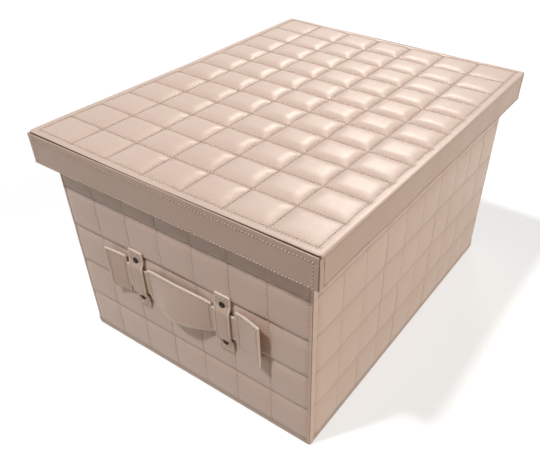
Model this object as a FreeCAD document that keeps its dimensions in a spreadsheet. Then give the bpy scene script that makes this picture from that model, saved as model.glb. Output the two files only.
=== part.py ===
import FreeCAD, Part
import math
import os
import sys

import Sketcher

# Quilted storage box with a lift-off lid and a strap handle on each short side.
# Millimetres. The origin is at the middle of the footprint on the floor, +Z is up,
# the front (one strap handle) faces -Y, and the box is longest along Y.

SIZES = [
    ("body_width", 278, "outside width over the quilted left and right walls"),
    ("body_depth", 366, "outside depth over the quilted front and rear walls"),
    ("rim_height", 220, "height of the body's rim above the floor"),
    ("leather", 1.2, "faux leather with its backing"),
    ("quilt_rise", 2.4, "height of the padded cells above their seams"),
    ("channel_half", 9, "half width of the rounding on each side of a sewn seam"),
    ("lining", 0.8, "lining cloth, and leather thinned where it is turned in"),
    ("wall_board", 3, "board inside each wall of the body"),
    ("base_board", 3, "board inside the base"),
    ("floor_board", 2, "loose covered board on the inside floor"),
    ("floor_play", 0.5, "play around the loose floor board"),
    ("base_inset", 0.6, "the base's edge stands in from the padded walls"),
    ("base_groove", 0.3, "groove between the base and the quilted walls"),
    ("rim_lip", 18, "leather turned in over the rim and down inside"),
    ("front_columns", 7, "padded cells across the front and the rear"),
    ("side_columns", 10, "padded cells along each side"),
    ("wall_rows", 5, "padded cells up each wall"),
    ("front_margin", 4.3, "corner to first seam on the front and the rear"),
    ("side_margin", 8, "corner to first seam on the sides"),
    ("foot_margin", 5, "floor to the lowest seam on the walls"),
    ("rim_margin", 7, "rim to the highest seam on the walls"),
    ("lid_gap", 6.5, "play between the padded walls and the inside of the skirt"),
    ("skirt_board", 2.5, "board inside the lid's skirt"),
    ("skirt_height", 31, "height of the lid outside"),
    ("lid_board", 2.5, "board inside the lid's top"),
    ("lid_columns", 7, "padded cells across the lid"),
    ("lid_rows", 11, "padded cells along the lid"),
    ("lid_side_margin", 7, "lid edge to first seam, across"),
    ("lid_end_margin", 8.5, "lid edge to first seam, along"),
    ("lid_corner", 3, "radius of the lid's corners seen from above"),
    ("lid_edge", 1.4, "radius around the lid's top edge"),
    ("handle_height", 105, "middle of the strap handles above the floor"),
    ("keeper_spacing", 101, "middle to middle of the two keepers of a handle"),
    ("keeper_width", 16.4, "width of a keeper"),
    ("keeper_foot", 15.2, "height of each foot of a keeper, flat on the wall"),
    ("keeper_leather", 2.2, "thickness of a keeper, two layers sewn"),
    ("keeper_play", 0.8, "room between the strap and the raised part of a keeper"),
    ("neck_play", 1.3, "room above and below the strap inside a keeper"),
    ("keeper_ramp", 2, "height over which a keeper leaves the wall"),
    ("keeper_knee", 1.1, "how far a keeper's outer bends stand from its inner ones"),
    ("strap_thickness", 2.5, "thickness of the strap, two layers sewn"),
    ("strap_play", 0.5, "room between the strap and the padded wall"),
    ("strap_bow", 9, "how far the grip bows away from the wall"),
    ("bow_rest", 3, "flat length of the grip between its bow and its shoulders"),
    ("shoulder_gap", 4.3, "keepers to the strap's inner shoulders"),
    ("tab_gap", 5.3, "keepers to the strap's outer shoulders"),
    ("grip_height", 34.4, "height of the grip at its ends"),
    ("grip_belly", 3.4, "how far the grip's lower edge curves down"),
    ("neck_height", 27, "height of the strap inside the keepers"),
    ("tab_length", 33, "length of a tab"),
    ("tab_root", 42, "height of a tab at its shoulder"),
    ("tab_end", 46, "height of a tab at its end"),
    ("tab_lift", 7, "how far one tab curls away from the wall"),
    ("rivet_inset", 10.5, "a keeper's end to the rivet in its foot"),
    ("rivet_shank", 1.8, "radius of a rivet's shank"),
    ("rivet_play", 0.15, "play around a shank in its holes"),
    ("rivet_head", 3.2, "radius of a rivet's head"),
    ("rivet_dome", 1.6, "height of a rivet's domed head"),
    ("back_radius", 4.5, "radius of the cap on a rivet's inner end"),
    ("back_height", 1.8, "height of that cap"),
    ("shank_seat", 1, "how far a shank reaches into its cap"),
]

doc = FreeCAD.newDocument("storage_box")
sheet = doc.addObject("Spreadsheet::Sheet", "Sizes")
for row, (alias, number, meaning) in enumerate(SIZES, start=1):
    sheet.set("A%d" % row, alias)
    sheet.set("B%d" % row, str(number))
    sheet.set("C%d" % row, meaning)
    sheet.setAlias("B%d" % row, alias)
doc.recompute()

# Formulas worked out from the sheet, in the words of the sheet.
COVER = "(Sizes.leather + Sizes.quilt_rise)"
WALL = "(%s + Sizes.wall_board + Sizes.lining)" % COVER
SKIRT = "(Sizes.leather + Sizes.skirt_board + Sizes.lining)"
BASE_TOP = "(Sizes.leather + Sizes.base_board)"
LIP_FOOT = "(Sizes.rim_height - Sizes.rim_lip)"
BOARD_TOP = "(Sizes.rim_height - Sizes.leather)"
LID_WIDTH = "(Sizes.body_width + 2 * (Sizes.lid_gap + %s))" % SKIRT
LID_DEPTH = "(Sizes.body_depth + 2 * (Sizes.lid_gap + %s))" % SKIRT
LINING_TOP = "(Sizes.rim_height + Sizes.lining)"
LID_BOARD_TOP = "(%s + Sizes.lid_board)" % LINING_TOP
LID_TOP = "(%s + %s)" % (LID_BOARD_TOP, COVER)
SKIRT_FOOT = "(%s - Sizes.skirt_height)" % LID_TOP
CHANNEL_RADIUS = "((Sizes.channel_half^2 + Sizes.quilt_rise^2) / (2 * Sizes.quilt_rise))"
FRONT = "(Sizes.body_depth / 2)"
SIDE = "(Sizes.body_width / 2)"
KEEPER_ROOM = "(Sizes.strap_play + Sizes.strap_thickness + Sizes.keeper_play)"
KEEPER_SPAN = "(Sizes.neck_height + 2 * Sizes.neck_play)"
KEEPER_LENGTH = "(%s + 2 * (Sizes.keeper_ramp + Sizes.keeper_foot))" % KEEPER_SPAN
RIVET_SPACING = "(%s - 2 * Sizes.rivet_inset)" % KEEPER_LENGTH
GRIP_HALF = "(Sizes.keeper_spacing / 2 - Sizes.keeper_width / 2 - Sizes.shoulder_gap)"
BOW_HALF = "(%s - Sizes.bow_rest)" % GRIP_HALF
TAB_SHOULDER = "(Sizes.keeper_spacing / 2 + Sizes.keeper_width / 2 + Sizes.tab_gap)"
TAB_REACH = "(%s + Sizes.tab_length)" % TAB_SHOULDER

# The four walls: name, turn about Z from the front, distance of the padded face from
# the middle, half length of the padded face, cells across, corner margin, riveted.
WALLS = [
    ("front", 0, FRONT, SIDE, "Sizes.front_columns", "Sizes.front_margin", True),
    ("right", 90, SIDE, FRONT, "Sizes.side_columns", "Sizes.side_margin", False),
    ("rear", 180, FRONT, SIDE, "Sizes.front_columns", "Sizes.front_margin", True),
    ("left", 270, SIDE, FRONT, "Sizes.side_columns", "Sizes.side_margin", False),
]

UP = FreeCAD.Vector(0, 0, 1)
# How far a cutting outline reaches past the solid it cuts.
CLEAR = "2"

pieces = []


def value(formula):
    return float(sheet.evalExpression(formula))


def new_body(label, turn=0):
    body = doc.addObject("PartDesign::Body", label)
    body.Label = label
    body.Placement = FreeCAD.Placement(FreeCAD.Vector(0, 0, 0), FreeCAD.Rotation(UP, turn))
    pieces.append(body)
    return body


def origin_feature(body, role):
    return [feature for feature in body.Origin.OriginFeatures if feature.Role == role][0]


def new_sketch(body, role, offset=None):
    sketch = body.newObject("Sketcher::SketchObject", body.Label + "_sketch")
    sketch.AttachmentSupport = (origin_feature(body, role), [""])
    sketch.MapMode = "FlatFace"
    if offset is not None:
        sketch.setExpression("AttachmentOffset.Base.z", offset)
    return sketch


def hold(sketch, kind, geometry, point, formula):
    """Hold a point's distance from the sketch's origin at a formula."""
    number = sketch.addConstraint(Sketcher.Constraint(kind, -1, 1, geometry, point, value(formula)))
    sketch.setExpression("Constraints[%d]" % number, formula)


def outline(sketch, corners, arcs=None, closed=True):
    """Draw lines from corner to corner, each corner a pair of formulas.

    arcs gives, by the number of the corner where an arc starts, the two formulas of its
    centre and the one of them that is held; the other follows from the arc's ends.
    """
    arcs = arcs or {}
    points = [FreeCAD.Vector(value(across), value(up), 0) for across, up in corners]
    count = len(points) if closed else len(points) - 1
    ends = []
    for index in range(count):
        start = points[index]
        end = points[(index + 1) % len(points)]
        if index in arcs:
            centre_across, centre_up, held = arcs[index]
            centre = FreeCAD.Vector(value(centre_across), value(centre_up), 0)
            spoke, last = start.sub(centre), end.sub(centre)
            forward = spoke.x * last.y - spoke.y * last.x > 0
            if not forward:
                spoke, last = last, spoke
            circle = Part.Circle(centre, UP, spoke.Length)
            first_angle = math.atan2(spoke.y, spoke.x)
            last_angle = math.atan2(last.y, last.x)
            geometry = sketch.addGeometry(Part.ArcOfCircle(circle, first_angle, last_angle), False)
            held_formula = centre_across if held == "DistanceX" else centre_up
            hold(sketch, held, geometry, 3, held_formula)
            ends.append((geometry, 1, 2) if forward else (geometry, 2, 1))
        else:
            geometry = sketch.addGeometry(Part.LineSegment(start, end), False)
            ends.append((geometry, 1, 2))
    for index in range(count):
        geometry, first, last = ends[index]
        hold(sketch, "DistanceX", geometry, first, corners[index][0])
        hold(sketch, "DistanceY", geometry, first, corners[index][1])
        if closed or index + 1 < count:
            other, other_first, _ = ends[(index + 1) % count]
            sketch.addConstraint(Sketcher.Constraint("Coincident", geometry, last, other, other_first))
        else:
            hold(sketch, "DistanceX", geometry, last, corners[index + 1][0])
            hold(sketch, "DistanceY", geometry, last, corners[index + 1][1])


def rectangle(sketch, low_across, high_across, low_up, high_up):
    outline(sketch, [(low_across, low_up), (high_across, low_up),
                     (high_across, high_up), (low_across, high_up)])


def pad(body, sketch, length, symmetric=False, inward=False):
    feature = body.newObject("PartDesign::Pad", body.Label + "_pad")
    feature.Profile = sketch
    feature.setExpression("Length", length)
    if symmetric:
        feature.SideType = "Symmetric"
    feature.Reversed = inward
    return feature


def cut_through(body, sketch):
    feature = body.newObject("PartDesign::Pocket", body.Label + "_cut")
    feature.Profile = sketch
    feature.Type = "ThroughAll"
    feature.SideType = "Symmetric"
    return feature


def spacing(body, axis, pitch, count):
    """A linear pattern along an axis of the body, a given pitch apart."""
    pattern = body.newObject("PartDesign::LinearPattern", body.Label + "_pattern")
    pattern.Direction = (origin_feature(body, axis), [""])
    pattern.Mode = "Spacing"
    pattern.setExpression("Offset", pitch)
    pattern.setExpression("Occurrences", count)
    return pattern


def repeat(body, feature, axis, pitch, count):
    pattern = spacing(body, axis, pitch, count)
    pattern.Originals = [feature]
    body.Tip = pattern
    return pattern


def sewn_channels(body, role, seam_across, seam_up, into, axis, pitch, count):
    """Cut the valley along a sewn seam, and repeat it.

    The valley is two arcs that start level with the padded cells and meet at the thread.
    into is the direction from the padded face to the board, in the sketch's own axes:
    "across" or "up", with a sign.
    """
    sign, direction = into[0], into[1:]
    half, rise, radius = "Sizes.channel_half", "Sizes.quilt_rise", CHANNEL_RADIUS

    def place(along, deep):
        if direction == "across":
            return ("%s %s (%s)" % (seam_across, sign, deep), "%s + (%s)" % (seam_up, along))
        return ("%s + (%s)" % (seam_across, along), "%s %s (%s)" % (seam_up, sign, deep))

    held = "DistanceY" if direction == "across" else "DistanceX"
    sketch = new_sketch(body, role)
    outline(sketch,
            [place("-" + half, "0"), place("0", rise), place(half, "0"),
             place(half, "-" + CLEAR), place("-" + half, "-" + CLEAR)],
            {0: (*place("-" + half, radius), held), 1: (*place(half, radius), held)})
    return repeat(body, cut_through(body, sketch), axis, pitch, count)


def mitre_ends(body, distance, half_length, depth):
    """Cut both ends of a wall piece at 45 degrees, where it meets its neighbours."""
    sketch = new_sketch(body, "XY_Plane")
    face = "-%s" % distance
    back = "(%s + %s + %s)" % (face, depth, CLEAR)
    reach = "(%s - %s - %s)" % (half_length, depth, CLEAR)
    outline(sketch, [(half_length, face), (half_length, back), (reach, back)])
    outline(sketch, [("-" + half_length, face), ("-" + half_length, back), ("-" + reach, back)])
    return cut_through(body, sketch)


def rivet_holes(body):
    """Four holes for the shanks of one handle's rivets."""
    sketch = new_sketch(body, "XZ_Plane")
    for side in ("-", "+"):
        for level in ("-", "+"):
            across = "%sSizes.keeper_spacing / 2" % ("-" if side == "-" else "")
            up = "Sizes.handle_height %s %s / 2" % (level, RIVET_SPACING)
            drill(sketch, across, up)
    return cut_through(body, sketch)


def drill(sketch, across, up):
    centre = FreeCAD.Vector(value(across), value(up), 0)
    radius = "Sizes.rivet_shank + Sizes.rivet_play"
    geometry = sketch.addGeometry(Part.Circle(centre, UP, value(radius)), False)
    hold(sketch, "DistanceX", geometry, 3, across)
    hold(sketch, "DistanceY", geometry, 3, up)
    number = sketch.addConstraint(Sketcher.Constraint("Radius", geometry, value(radius)))
    sketch.setExpression("Constraints[%d]" % number, radius)


def upright_sheet(label, turn, face, thickness, half_length, foot, top, riveted=False):
    """A flat upright piece of a wall: face is how far its outer side is from the middle."""
    body = new_body(label, turn)
    sketch = new_sketch(body, "XZ_Plane", face)
    rectangle(sketch, "-" + half_length, half_length, foot, top)
    pad(body, sketch, thickness, inward=True)
    if riveted:
        rivet_holes(body)
    return body


def flat_sheet(label, half_width, half_depth, foot, thickness):
    """A flat piece that lies level."""
    body = new_body(label)
    sketch = new_sketch(body, "XY_Plane", foot)
    rectangle(sketch, "-" + half_width, half_width, "-" + half_depth, half_depth)
    pad(body, sketch, thickness)
    return body


# The base: a board in a shallow tray of faux leather.

def base():
    half_width = "(%s - Sizes.base_inset)" % SIDE
    half_depth = "(%s - Sizes.base_inset)" % FRONT
    board_width = "(%s - Sizes.leather)" % half_width
    board_depth = "(%s - Sizes.leather)" % half_depth
    tray = flat_sheet("base_cover", half_width, half_depth, "0", BASE_TOP)
    hollow = new_sketch(tray, "XY_Plane", BASE_TOP)
    rectangle(hollow, "-" + board_width, board_width, "-" + board_depth, board_depth)
    pocket = tray.newObject("PartDesign::Pocket", "base_cover_hollow")
    pocket.Profile = hollow
    pocket.setExpression("Length", "Sizes.base_board")
    flat_sheet("base_board", board_width, board_depth, "Sizes.leather", "Sizes.base_board")
    floor_width = "(%s - %s - Sizes.floor_play)" % (SIDE, WALL)
    floor_depth = "(%s - %s - Sizes.floor_play)" % (FRONT, WALL)
    flat_sheet("floor_board", floor_width, floor_depth, BASE_TOP, "Sizes.floor_board")


# The walls: a quilted cover turned in over the rim, a board and a lining each.

def quilted_wall(name, turn, distance, half_length, columns, margin, riveted):
    body = new_body(name + "_cover", turn)
    sketch = new_sketch(body, "YZ_Plane")
    face = "-%s" % distance
    foot = "(%s + Sizes.base_groove)" % BASE_TOP
    board_outside = "(%s + %s)" % (face, COVER)
    board_inside = "(%s + Sizes.wall_board)" % board_outside
    inside = "(%s + %s)" % (face, WALL)
    outline(sketch, [(face, foot), (face, "Sizes.rim_height"), (inside, "Sizes.rim_height"),
                     (inside, LIP_FOOT), (board_inside, LIP_FOOT), (board_inside, BOARD_TOP),
                     (board_outside, BOARD_TOP), (board_outside, foot)])
    pad(body, sketch, "2 * " + half_length, symmetric=True)
    mitre_ends(body, distance, half_length, WALL)
    pitch = "((2 * %s - 2 * %s) / %s)" % (half_length, margin, columns)
    sewn_channels(body, "XY_Plane", "(-%s + %s)" % (half_length, margin), face, "+up",
                  "X_Axis", pitch, columns + " + 1")
    row_pitch = "((Sizes.rim_height - Sizes.rim_margin - Sizes.foot_margin) / Sizes.wall_rows)"
    sewn_channels(body, "YZ_Plane", face, "Sizes.foot_margin", "+across",
                  "Z_Axis", row_pitch, "Sizes.wall_rows + 1")
    if riveted:
        rivet_holes(body)
    return body


def walls():
    for name, turn, distance, half_length, columns, margin, riveted in WALLS:
        quilted_wall(name, turn, distance, half_length, columns, margin, riveted)
        board_face = "(%s - %s)" % (distance, COVER)
        lining_face = "(%s - Sizes.wall_board)" % board_face
        if riveted:
            board_half = "(%s - %s - Sizes.wall_board)" % (half_length, COVER)
            lining_half = board_half
        else:
            board_half = "(%s - %s)" % (half_length, COVER)
            lining_half = "(%s - %s)" % (half_length, WALL)
        upright_sheet(name + "_board", turn, board_face, "Sizes.wall_board",
                      board_half, BASE_TOP, BOARD_TOP, riveted)
        upright_sheet(name + "_lining", turn, lining_face, "Sizes.lining",
                      lining_half, BASE_TOP, LIP_FOOT, riveted)


# The lid: a quilted top on a board, with a plain skirt all round.

def lid_top():
    half_width = "(%s / 2)" % LID_WIDTH
    half_depth = "(%s / 2)" % LID_DEPTH
    cover = flat_sheet("lid_cover", half_width, half_depth, LID_BOARD_TOP, COVER)
    doc.recompute()
    block = cover.Tip
    corners, edges = [], []
    for number, edge in enumerate(block.Shape.Edges, start=1):
        ends = [vertex.Z for vertex in edge.Vertexes]
        if abs(ends[0] - ends[1]) > value(COVER) / 2:
            corners.append("Edge%d" % number)
    rounded = round_edges(cover, block, corners, "Sizes.lid_corner")
    doc.recompute()
    for number, edge in enumerate(rounded.Shape.Edges, start=1):
        if min(vertex.Z for vertex in edge.Vertexes) > value(LID_TOP) - value(COVER) / 2:
            edges.append("Edge%d" % number)
    round_edges(cover, rounded, edges, "Sizes.lid_edge")
    first = "(-%s + Sizes.lid_side_margin)" % half_width
    pitch = "((%s - 2 * Sizes.lid_side_margin) / Sizes.lid_columns)" % LID_WIDTH
    sewn_channels(cover, "XZ_Plane", first, LID_TOP, "-up", "X_Axis", pitch, "Sizes.lid_columns + 1")
    first = "(-%s + Sizes.lid_end_margin)" % half_depth
    pitch = "((%s - 2 * Sizes.lid_end_margin) / Sizes.lid_rows)" % LID_DEPTH
    sewn_channels(cover, "YZ_Plane", first, LID_TOP, "-up", "Y_Axis", pitch, "Sizes.lid_rows + 1")
    flat_sheet("lid_board", "(%s - Sizes.leather)" % half_width, "(%s - Sizes.leather)" % half_depth,
               LINING_TOP, "Sizes.lid_board")
    flat_sheet("lid_lining", "(%s - %s)" % (half_width, SKIRT), "(%s - %s)" % (half_depth, SKIRT),
               "Sizes.rim_height", "Sizes.lining")


def round_edges(body, base_feature, names, radius):
    fillet = body.newObject("PartDesign::Fillet", body.Label + "_round")
    fillet.Base = (base_feature, names)
    fillet.setExpression("Radius", radius)
    return fillet


def skirt():
    """Each side of the skirt is a board with faux leather folded under it."""
    for name, turn, distance, half_length, _, _, riveted in WALLS:
        outside = "(%s + Sizes.lid_gap + %s)" % (distance, SKIRT)
        half = "(%s + Sizes.lid_gap + %s)" % (half_length, SKIRT)
        face = "-" + outside
        board_outside = "(%s + Sizes.leather)" % face
        board_inside = "(%s + Sizes.skirt_board)" % board_outside
        inside = "(%s + %s)" % (face, SKIRT)
        board_foot = "(%s + Sizes.leather)" % SKIRT_FOOT
        cover = new_body("skirt_%s_cover" % name, turn)
        sketch = new_sketch(cover, "YZ_Plane")
        outline(sketch, [(face, SKIRT_FOOT), (inside, SKIRT_FOOT), (inside, LINING_TOP),
                         (board_inside, LINING_TOP), (board_inside, board_foot),
                         (board_outside, board_foot), (board_outside, LID_BOARD_TOP),
                         (face, LID_BOARD_TOP)])
        pad(cover, sketch, "2 * " + half, symmetric=True)
        mitre_ends(cover, outside, half, SKIRT)
        if riveted:
            board_half = "(%s - Sizes.leather - Sizes.skirt_board)" % half
        else:
            board_half = "(%s - Sizes.leather)" % half
        upright_sheet("skirt_%s_board" % name, turn, "(%s - Sizes.leather)" % outside,
                      "Sizes.skirt_board", board_half, board_foot, LINING_TOP)


# The handles: a strap held by two keepers, each fixed by two rivets.

def strap(name, turn):
    """The strap lies on the wall, bows out between the keepers and curls at one tab."""
    body = new_body(name + "_strap", turn)
    flat = "-(%s + Sizes.strap_play + Sizes.strap_thickness / 2)" % FRONT
    half_bow = "%s / 2" % BOW_HALF
    rise = "(Sizes.strap_bow / 2)"
    bend = "(((%s)^2 + %s^2) / (2 * %s))" % (half_bow, rise, rise)
    curl = "((Sizes.tab_length^2 + Sizes.tab_lift^2) / (2 * Sizes.tab_lift))"
    path = new_sketch(body, "XY_Plane", "Sizes.handle_height")
    outline(path,
            [("-" + TAB_REACH, flat), ("-" + BOW_HALF, flat),
             ("-" + half_bow, "%s - %s" % (flat, rise)), (half_bow, "%s - %s" % (flat, rise)),
             (BOW_HALF, flat), (TAB_SHOULDER, flat),
             (TAB_REACH, "%s - Sizes.tab_lift" % flat)],
            {1: ("-" + BOW_HALF, "%s - %s" % (flat, bend), "DistanceX"),
             2: ("0", "%s - Sizes.strap_bow + %s" % (flat, bend), "DistanceY"),
             3: (BOW_HALF, "%s - %s" % (flat, bend), "DistanceX"),
             5: (TAB_SHOULDER, "%s - %s" % (flat, curl), "DistanceX")},
            closed=False)
    section = new_sketch(body, "YZ_Plane", "-" + TAB_REACH)
    rectangle(section, "%s - Sizes.strap_thickness / 2" % flat, "%s + Sizes.strap_thickness / 2" % flat,
              "Sizes.handle_height - Sizes.tab_end / 2", "Sizes.handle_height + Sizes.tab_end / 2")
    sweep = body.newObject("PartDesign::AdditivePipe", body.Label + "_sweep")
    sweep.Profile = section
    sweep.Spine = (path, ["Edge%d" % number for number in range(1, path.GeometryCount + 1)])
    cut_strap_edges(body)
    return body


def cut_strap_edges(body):
    """Cut the strap's outline: a tab at each end, a neck in each keeper, a bellied grip."""
    sketch = new_sketch(body, "XZ_Plane")
    for sign in ("+", "-"):
        def level(height, extra="0"):
            return "Sizes.handle_height %s (%s / 2 + %s)" % (sign, height, extra)
        beyond = level("Sizes.tab_end", CLEAR)
        right = [(GRIP_HALF, level("Sizes.grip_height")),
                 (GRIP_HALF, level("Sizes.neck_height")),
                 (TAB_SHOULDER, level("Sizes.neck_height")),
                 (TAB_SHOULDER, level("Sizes.tab_root")),
                 ("%s + %s" % (TAB_REACH, CLEAR), level("Sizes.tab_end")),
                 ("%s + %s" % (TAB_REACH, CLEAR), beyond)]
        left = [("-(%s)" % across, up) for across, up in reversed(right)]
        if sign == "-":
            rise = "Sizes.grip_belly"
            bend = "((%s^2 + %s^2) / (2 * %s))" % (GRIP_HALF, rise, rise)
            centre_up = "Sizes.handle_height - Sizes.grip_height / 2 - %s + %s" % (rise, bend)
            outline(sketch, left + right, {len(left) - 1: ("0", centre_up, "DistanceY")})
        else:
            outline(sketch, left + right)
    return cut_through(body, sketch)


def keeper(name, side, across, turn):
    """A riveted loop that lies flat on the wall at both ends and steps over the strap."""
    body = new_body("%s_keeper_%s" % (name, side), turn)
    sketch = new_sketch(body, "YZ_Plane", across)
    wall = "-" + FRONT
    half, span = KEEPER_LENGTH + " / 2", KEEPER_SPAN + " / 2"
    leather, room = "Sizes.keeper_leather", KEEPER_ROOM
    inner = [("0", half), ("0", span + " + Sizes.keeper_ramp"), (room, span)]
    outer = [(room + " + " + leather, span + " + Sizes.keeper_knee"),
             (leather, span + " + Sizes.keeper_ramp + Sizes.keeper_knee"), (leather, half)]

    def corner(out, up, sign):
        return ("%s - (%s)" % (wall, out), "Sizes.handle_height %s (%s)" % (sign, up))

    lower_inner = [corner(out, up, "-") for out, up in inner]
    upper_inner = [corner(out, up, "+") for out, up in reversed(inner)]
    upper_outer = [corner(out, up, "+") for out, up in reversed(outer)]
    lower_outer = [corner(out, up, "-") for out, up in outer]
    outline(sketch, lower_inner + upper_inner + upper_outer + lower_outer)
    pad(body, sketch, "Sizes.keeper_width", symmetric=True)
    rivet_holes(body)
    return body


def spun_group(body, profile):
    """Turn a profile about the lower left rivet's axis, and repeat it for all four."""
    spin = body.newObject("PartDesign::Revolution", body.Label + "_spin")
    spin.Profile = profile
    spin.ReferenceAxis = (profile, ["Axis0"])
    spin.Angle = 360
    across = spacing(body, "X_Axis", "Sizes.keeper_spacing", "2")
    upward = spacing(body, "Z_Axis", RIVET_SPACING, "2")
    pattern = body.newObject("PartDesign::MultiTransform", body.Label + "_pattern")
    pattern.Originals = [spin]
    pattern.Transformations = [across, upward]
    body.Tip = pattern


def axis_line(sketch, level):
    """The middle line of a rivet, square to the wall."""
    start = FreeCAD.Vector(-value(FRONT), value(level), 0)
    end = FreeCAD.Vector(0, value(level), 0)
    line = sketch.addGeometry(Part.LineSegment(start, end), True)
    hold(sketch, "DistanceX", line, 1, "-" + FRONT)
    hold(sketch, "DistanceY", line, 1, level)
    hold(sketch, "DistanceX", line, 2, "0")
    hold(sketch, "DistanceY", line, 2, level)


def rivets(name, turn):
    body = new_body(name + "_rivets", turn)
    level = "(Sizes.handle_height - %s / 2)" % RIVET_SPACING
    sketch = new_sketch(body, "YZ_Plane", "-Sizes.keeper_spacing / 2")
    head_face = "(-%s - Sizes.keeper_leather)" % FRONT
    shank_end = "(-%s + %s + Sizes.shank_seat)" % (FRONT, WALL)
    crown = "((Sizes.rivet_head^2 + Sizes.rivet_dome^2) / (2 * Sizes.rivet_dome))"
    outline(sketch,
            [("%s - Sizes.rivet_dome" % head_face, level), (shank_end, level),
             (shank_end, level + " + Sizes.rivet_shank"), (head_face, level + " + Sizes.rivet_shank"),
             (head_face, level + " + Sizes.rivet_head")],
            {4: ("%s - Sizes.rivet_dome + %s" % (head_face, crown), level, "DistanceY")})
    axis_line(sketch, level)
    spun_group(body, sketch)

    caps = new_body(name + "_rivet_backs", turn)
    sketch = new_sketch(caps, "YZ_Plane", "-Sizes.keeper_spacing / 2")
    inside = "(-%s + %s)" % (FRONT, WALL)
    bottom = "(%s + Sizes.shank_seat)" % inside
    top = "(%s + Sizes.back_height)" % inside
    hole = level + " + Sizes.rivet_shank + Sizes.rivet_play"
    outline(sketch, [(bottom, level), (top, level), (top, level + " + Sizes.back_radius"),
                     (inside, level + " + Sizes.back_radius"), (inside, hole), (bottom, hole)])
    axis_line(sketch, level)
    spun_group(caps, sketch)


def handles():
    for name, turn in (("front", 0), ("rear", 180)):
        strap(name, turn)
        keeper(name, "left", "-Sizes.keeper_spacing / 2", turn)
        keeper(name, "right", "Sizes.keeper_spacing / 2", turn)
        rivets(name, turn)


def check_and_write():
    doc.recompute()
    faults = [item.Label for item in doc.Objects if {"Invalid", "Error"} & set(item.State)]
    for piece in pieces:
        if piece.Shape.isNull() or not piece.Shape.isValid() or not piece.Shape.Solids:
            faults.append(piece.Label)
    if faults:
        print("failed:", ", ".join(faults))
        sys.exit(1)
    os.makedirs("parts", exist_ok=True)
    for piece in pieces:
        piece.Shape.exportStep("parts/%s.step" % piece.Label)
        print("%-20s %2d solid(s) %10.0f mm3" % (piece.Label, len(piece.Shape.Solids), piece.Shape.Volume))


base()
walls()
lid_top()
skirt()
handles()
check_and_write()
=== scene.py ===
import math

import bmesh
import bpy
import numpy as np
from mathutils import Matrix, Vector


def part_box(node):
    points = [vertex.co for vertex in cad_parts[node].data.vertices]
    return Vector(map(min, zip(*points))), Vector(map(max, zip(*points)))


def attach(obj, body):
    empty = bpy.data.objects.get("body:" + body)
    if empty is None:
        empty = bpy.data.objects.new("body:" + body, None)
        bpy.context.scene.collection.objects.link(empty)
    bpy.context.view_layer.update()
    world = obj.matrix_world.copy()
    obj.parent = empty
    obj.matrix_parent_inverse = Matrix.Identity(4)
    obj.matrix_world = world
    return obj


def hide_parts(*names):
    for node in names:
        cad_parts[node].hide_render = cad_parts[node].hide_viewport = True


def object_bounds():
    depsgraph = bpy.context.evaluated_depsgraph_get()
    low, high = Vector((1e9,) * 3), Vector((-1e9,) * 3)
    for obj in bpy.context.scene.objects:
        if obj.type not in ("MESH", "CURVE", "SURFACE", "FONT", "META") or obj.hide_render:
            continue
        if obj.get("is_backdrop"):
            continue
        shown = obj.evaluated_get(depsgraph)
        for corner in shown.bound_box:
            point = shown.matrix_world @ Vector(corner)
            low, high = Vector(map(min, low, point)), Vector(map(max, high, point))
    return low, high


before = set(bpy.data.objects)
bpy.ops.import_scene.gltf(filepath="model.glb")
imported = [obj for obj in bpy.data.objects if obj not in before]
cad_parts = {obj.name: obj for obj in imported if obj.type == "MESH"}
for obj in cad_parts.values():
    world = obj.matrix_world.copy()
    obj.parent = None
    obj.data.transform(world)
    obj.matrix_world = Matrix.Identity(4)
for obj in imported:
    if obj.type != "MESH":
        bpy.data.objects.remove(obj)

bl_info = {
    "name": "Quilted storage box",
    "version": (1, 0, 0),
    "blender": (4, 5, 0),
    "location": "3D View > Sidebar > Storage Box",
    "description": "Finishes a quilted storage box with a lift-off lid and strap handles",
    "category": "Object",
}

MM = 0.001
UP = Vector((0, 0, 1))
CAD_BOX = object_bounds()

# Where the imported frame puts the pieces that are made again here.
FACE_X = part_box("right_cover")[1].x
FACE_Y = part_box("rear_cover")[1].y
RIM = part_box("front_cover")[1].z
WALL_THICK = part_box("front_cover")[1].y + FACE_Y
BOARD_LOW, BOARD_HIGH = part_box("front_board")
COVER_THICK = FACE_Y + BOARD_LOW.y
LIP_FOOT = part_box("front_lining")[1].z
TRAY_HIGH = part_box("base_cover")[1]
TRAY_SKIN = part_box("base_board")[0].z
LID_LOW, LID_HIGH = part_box("lid_cover")
SKIRT_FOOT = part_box("skirt_front_cover")[0].z
SKIRT_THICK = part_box("skirt_front_cover")[1].y - LID_LOW.y
SKIRT_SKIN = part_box("skirt_front_board")[0].y - LID_LOW.y
INNER_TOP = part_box("lid_board")[0].z


class Side:
    """One of the four sides, seen from outside: its name and its two level directions."""

    def __init__(self, name, turn, long):
        self.name = name
        self.long = long
        self.across = Vector((math.cos(turn), math.sin(turn), 0))
        self.outward = Vector((math.sin(turn), -math.cos(turn), 0))

    def reach(self, x, y):
        """Half this side's length and how far out it lies, on a box that reaches to x and y."""
        return (y, x) if self.long else (x, y)

    def point(self, place, out, height):
        """The point at a place along this side, a distance out from the box's middle, and a height."""
        return self.across * place + self.outward * out + UP * height


SIDES = [
    Side("front", 0, False),
    Side("right", math.radians(90), True),
    Side("rear", math.radians(180), False),
    Side("left", math.radians(270), True),
]


# Settings that a user would change.

def size(millimetres, name, description):
    return bpy.props.FloatProperty(name=name, description=description, default=millimetres * MM,
                                   subtype="DISTANCE", unit="LENGTH", precision=4)


def number(default, name, description):
    return bpy.props.FloatProperty(name=name, description=description, default=default, precision=3)


def angle(degrees, name, description):
    return bpy.props.FloatProperty(name=name, description=description, default=math.radians(degrees),
                                   subtype="ANGLE", unit="ROTATION")


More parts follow.
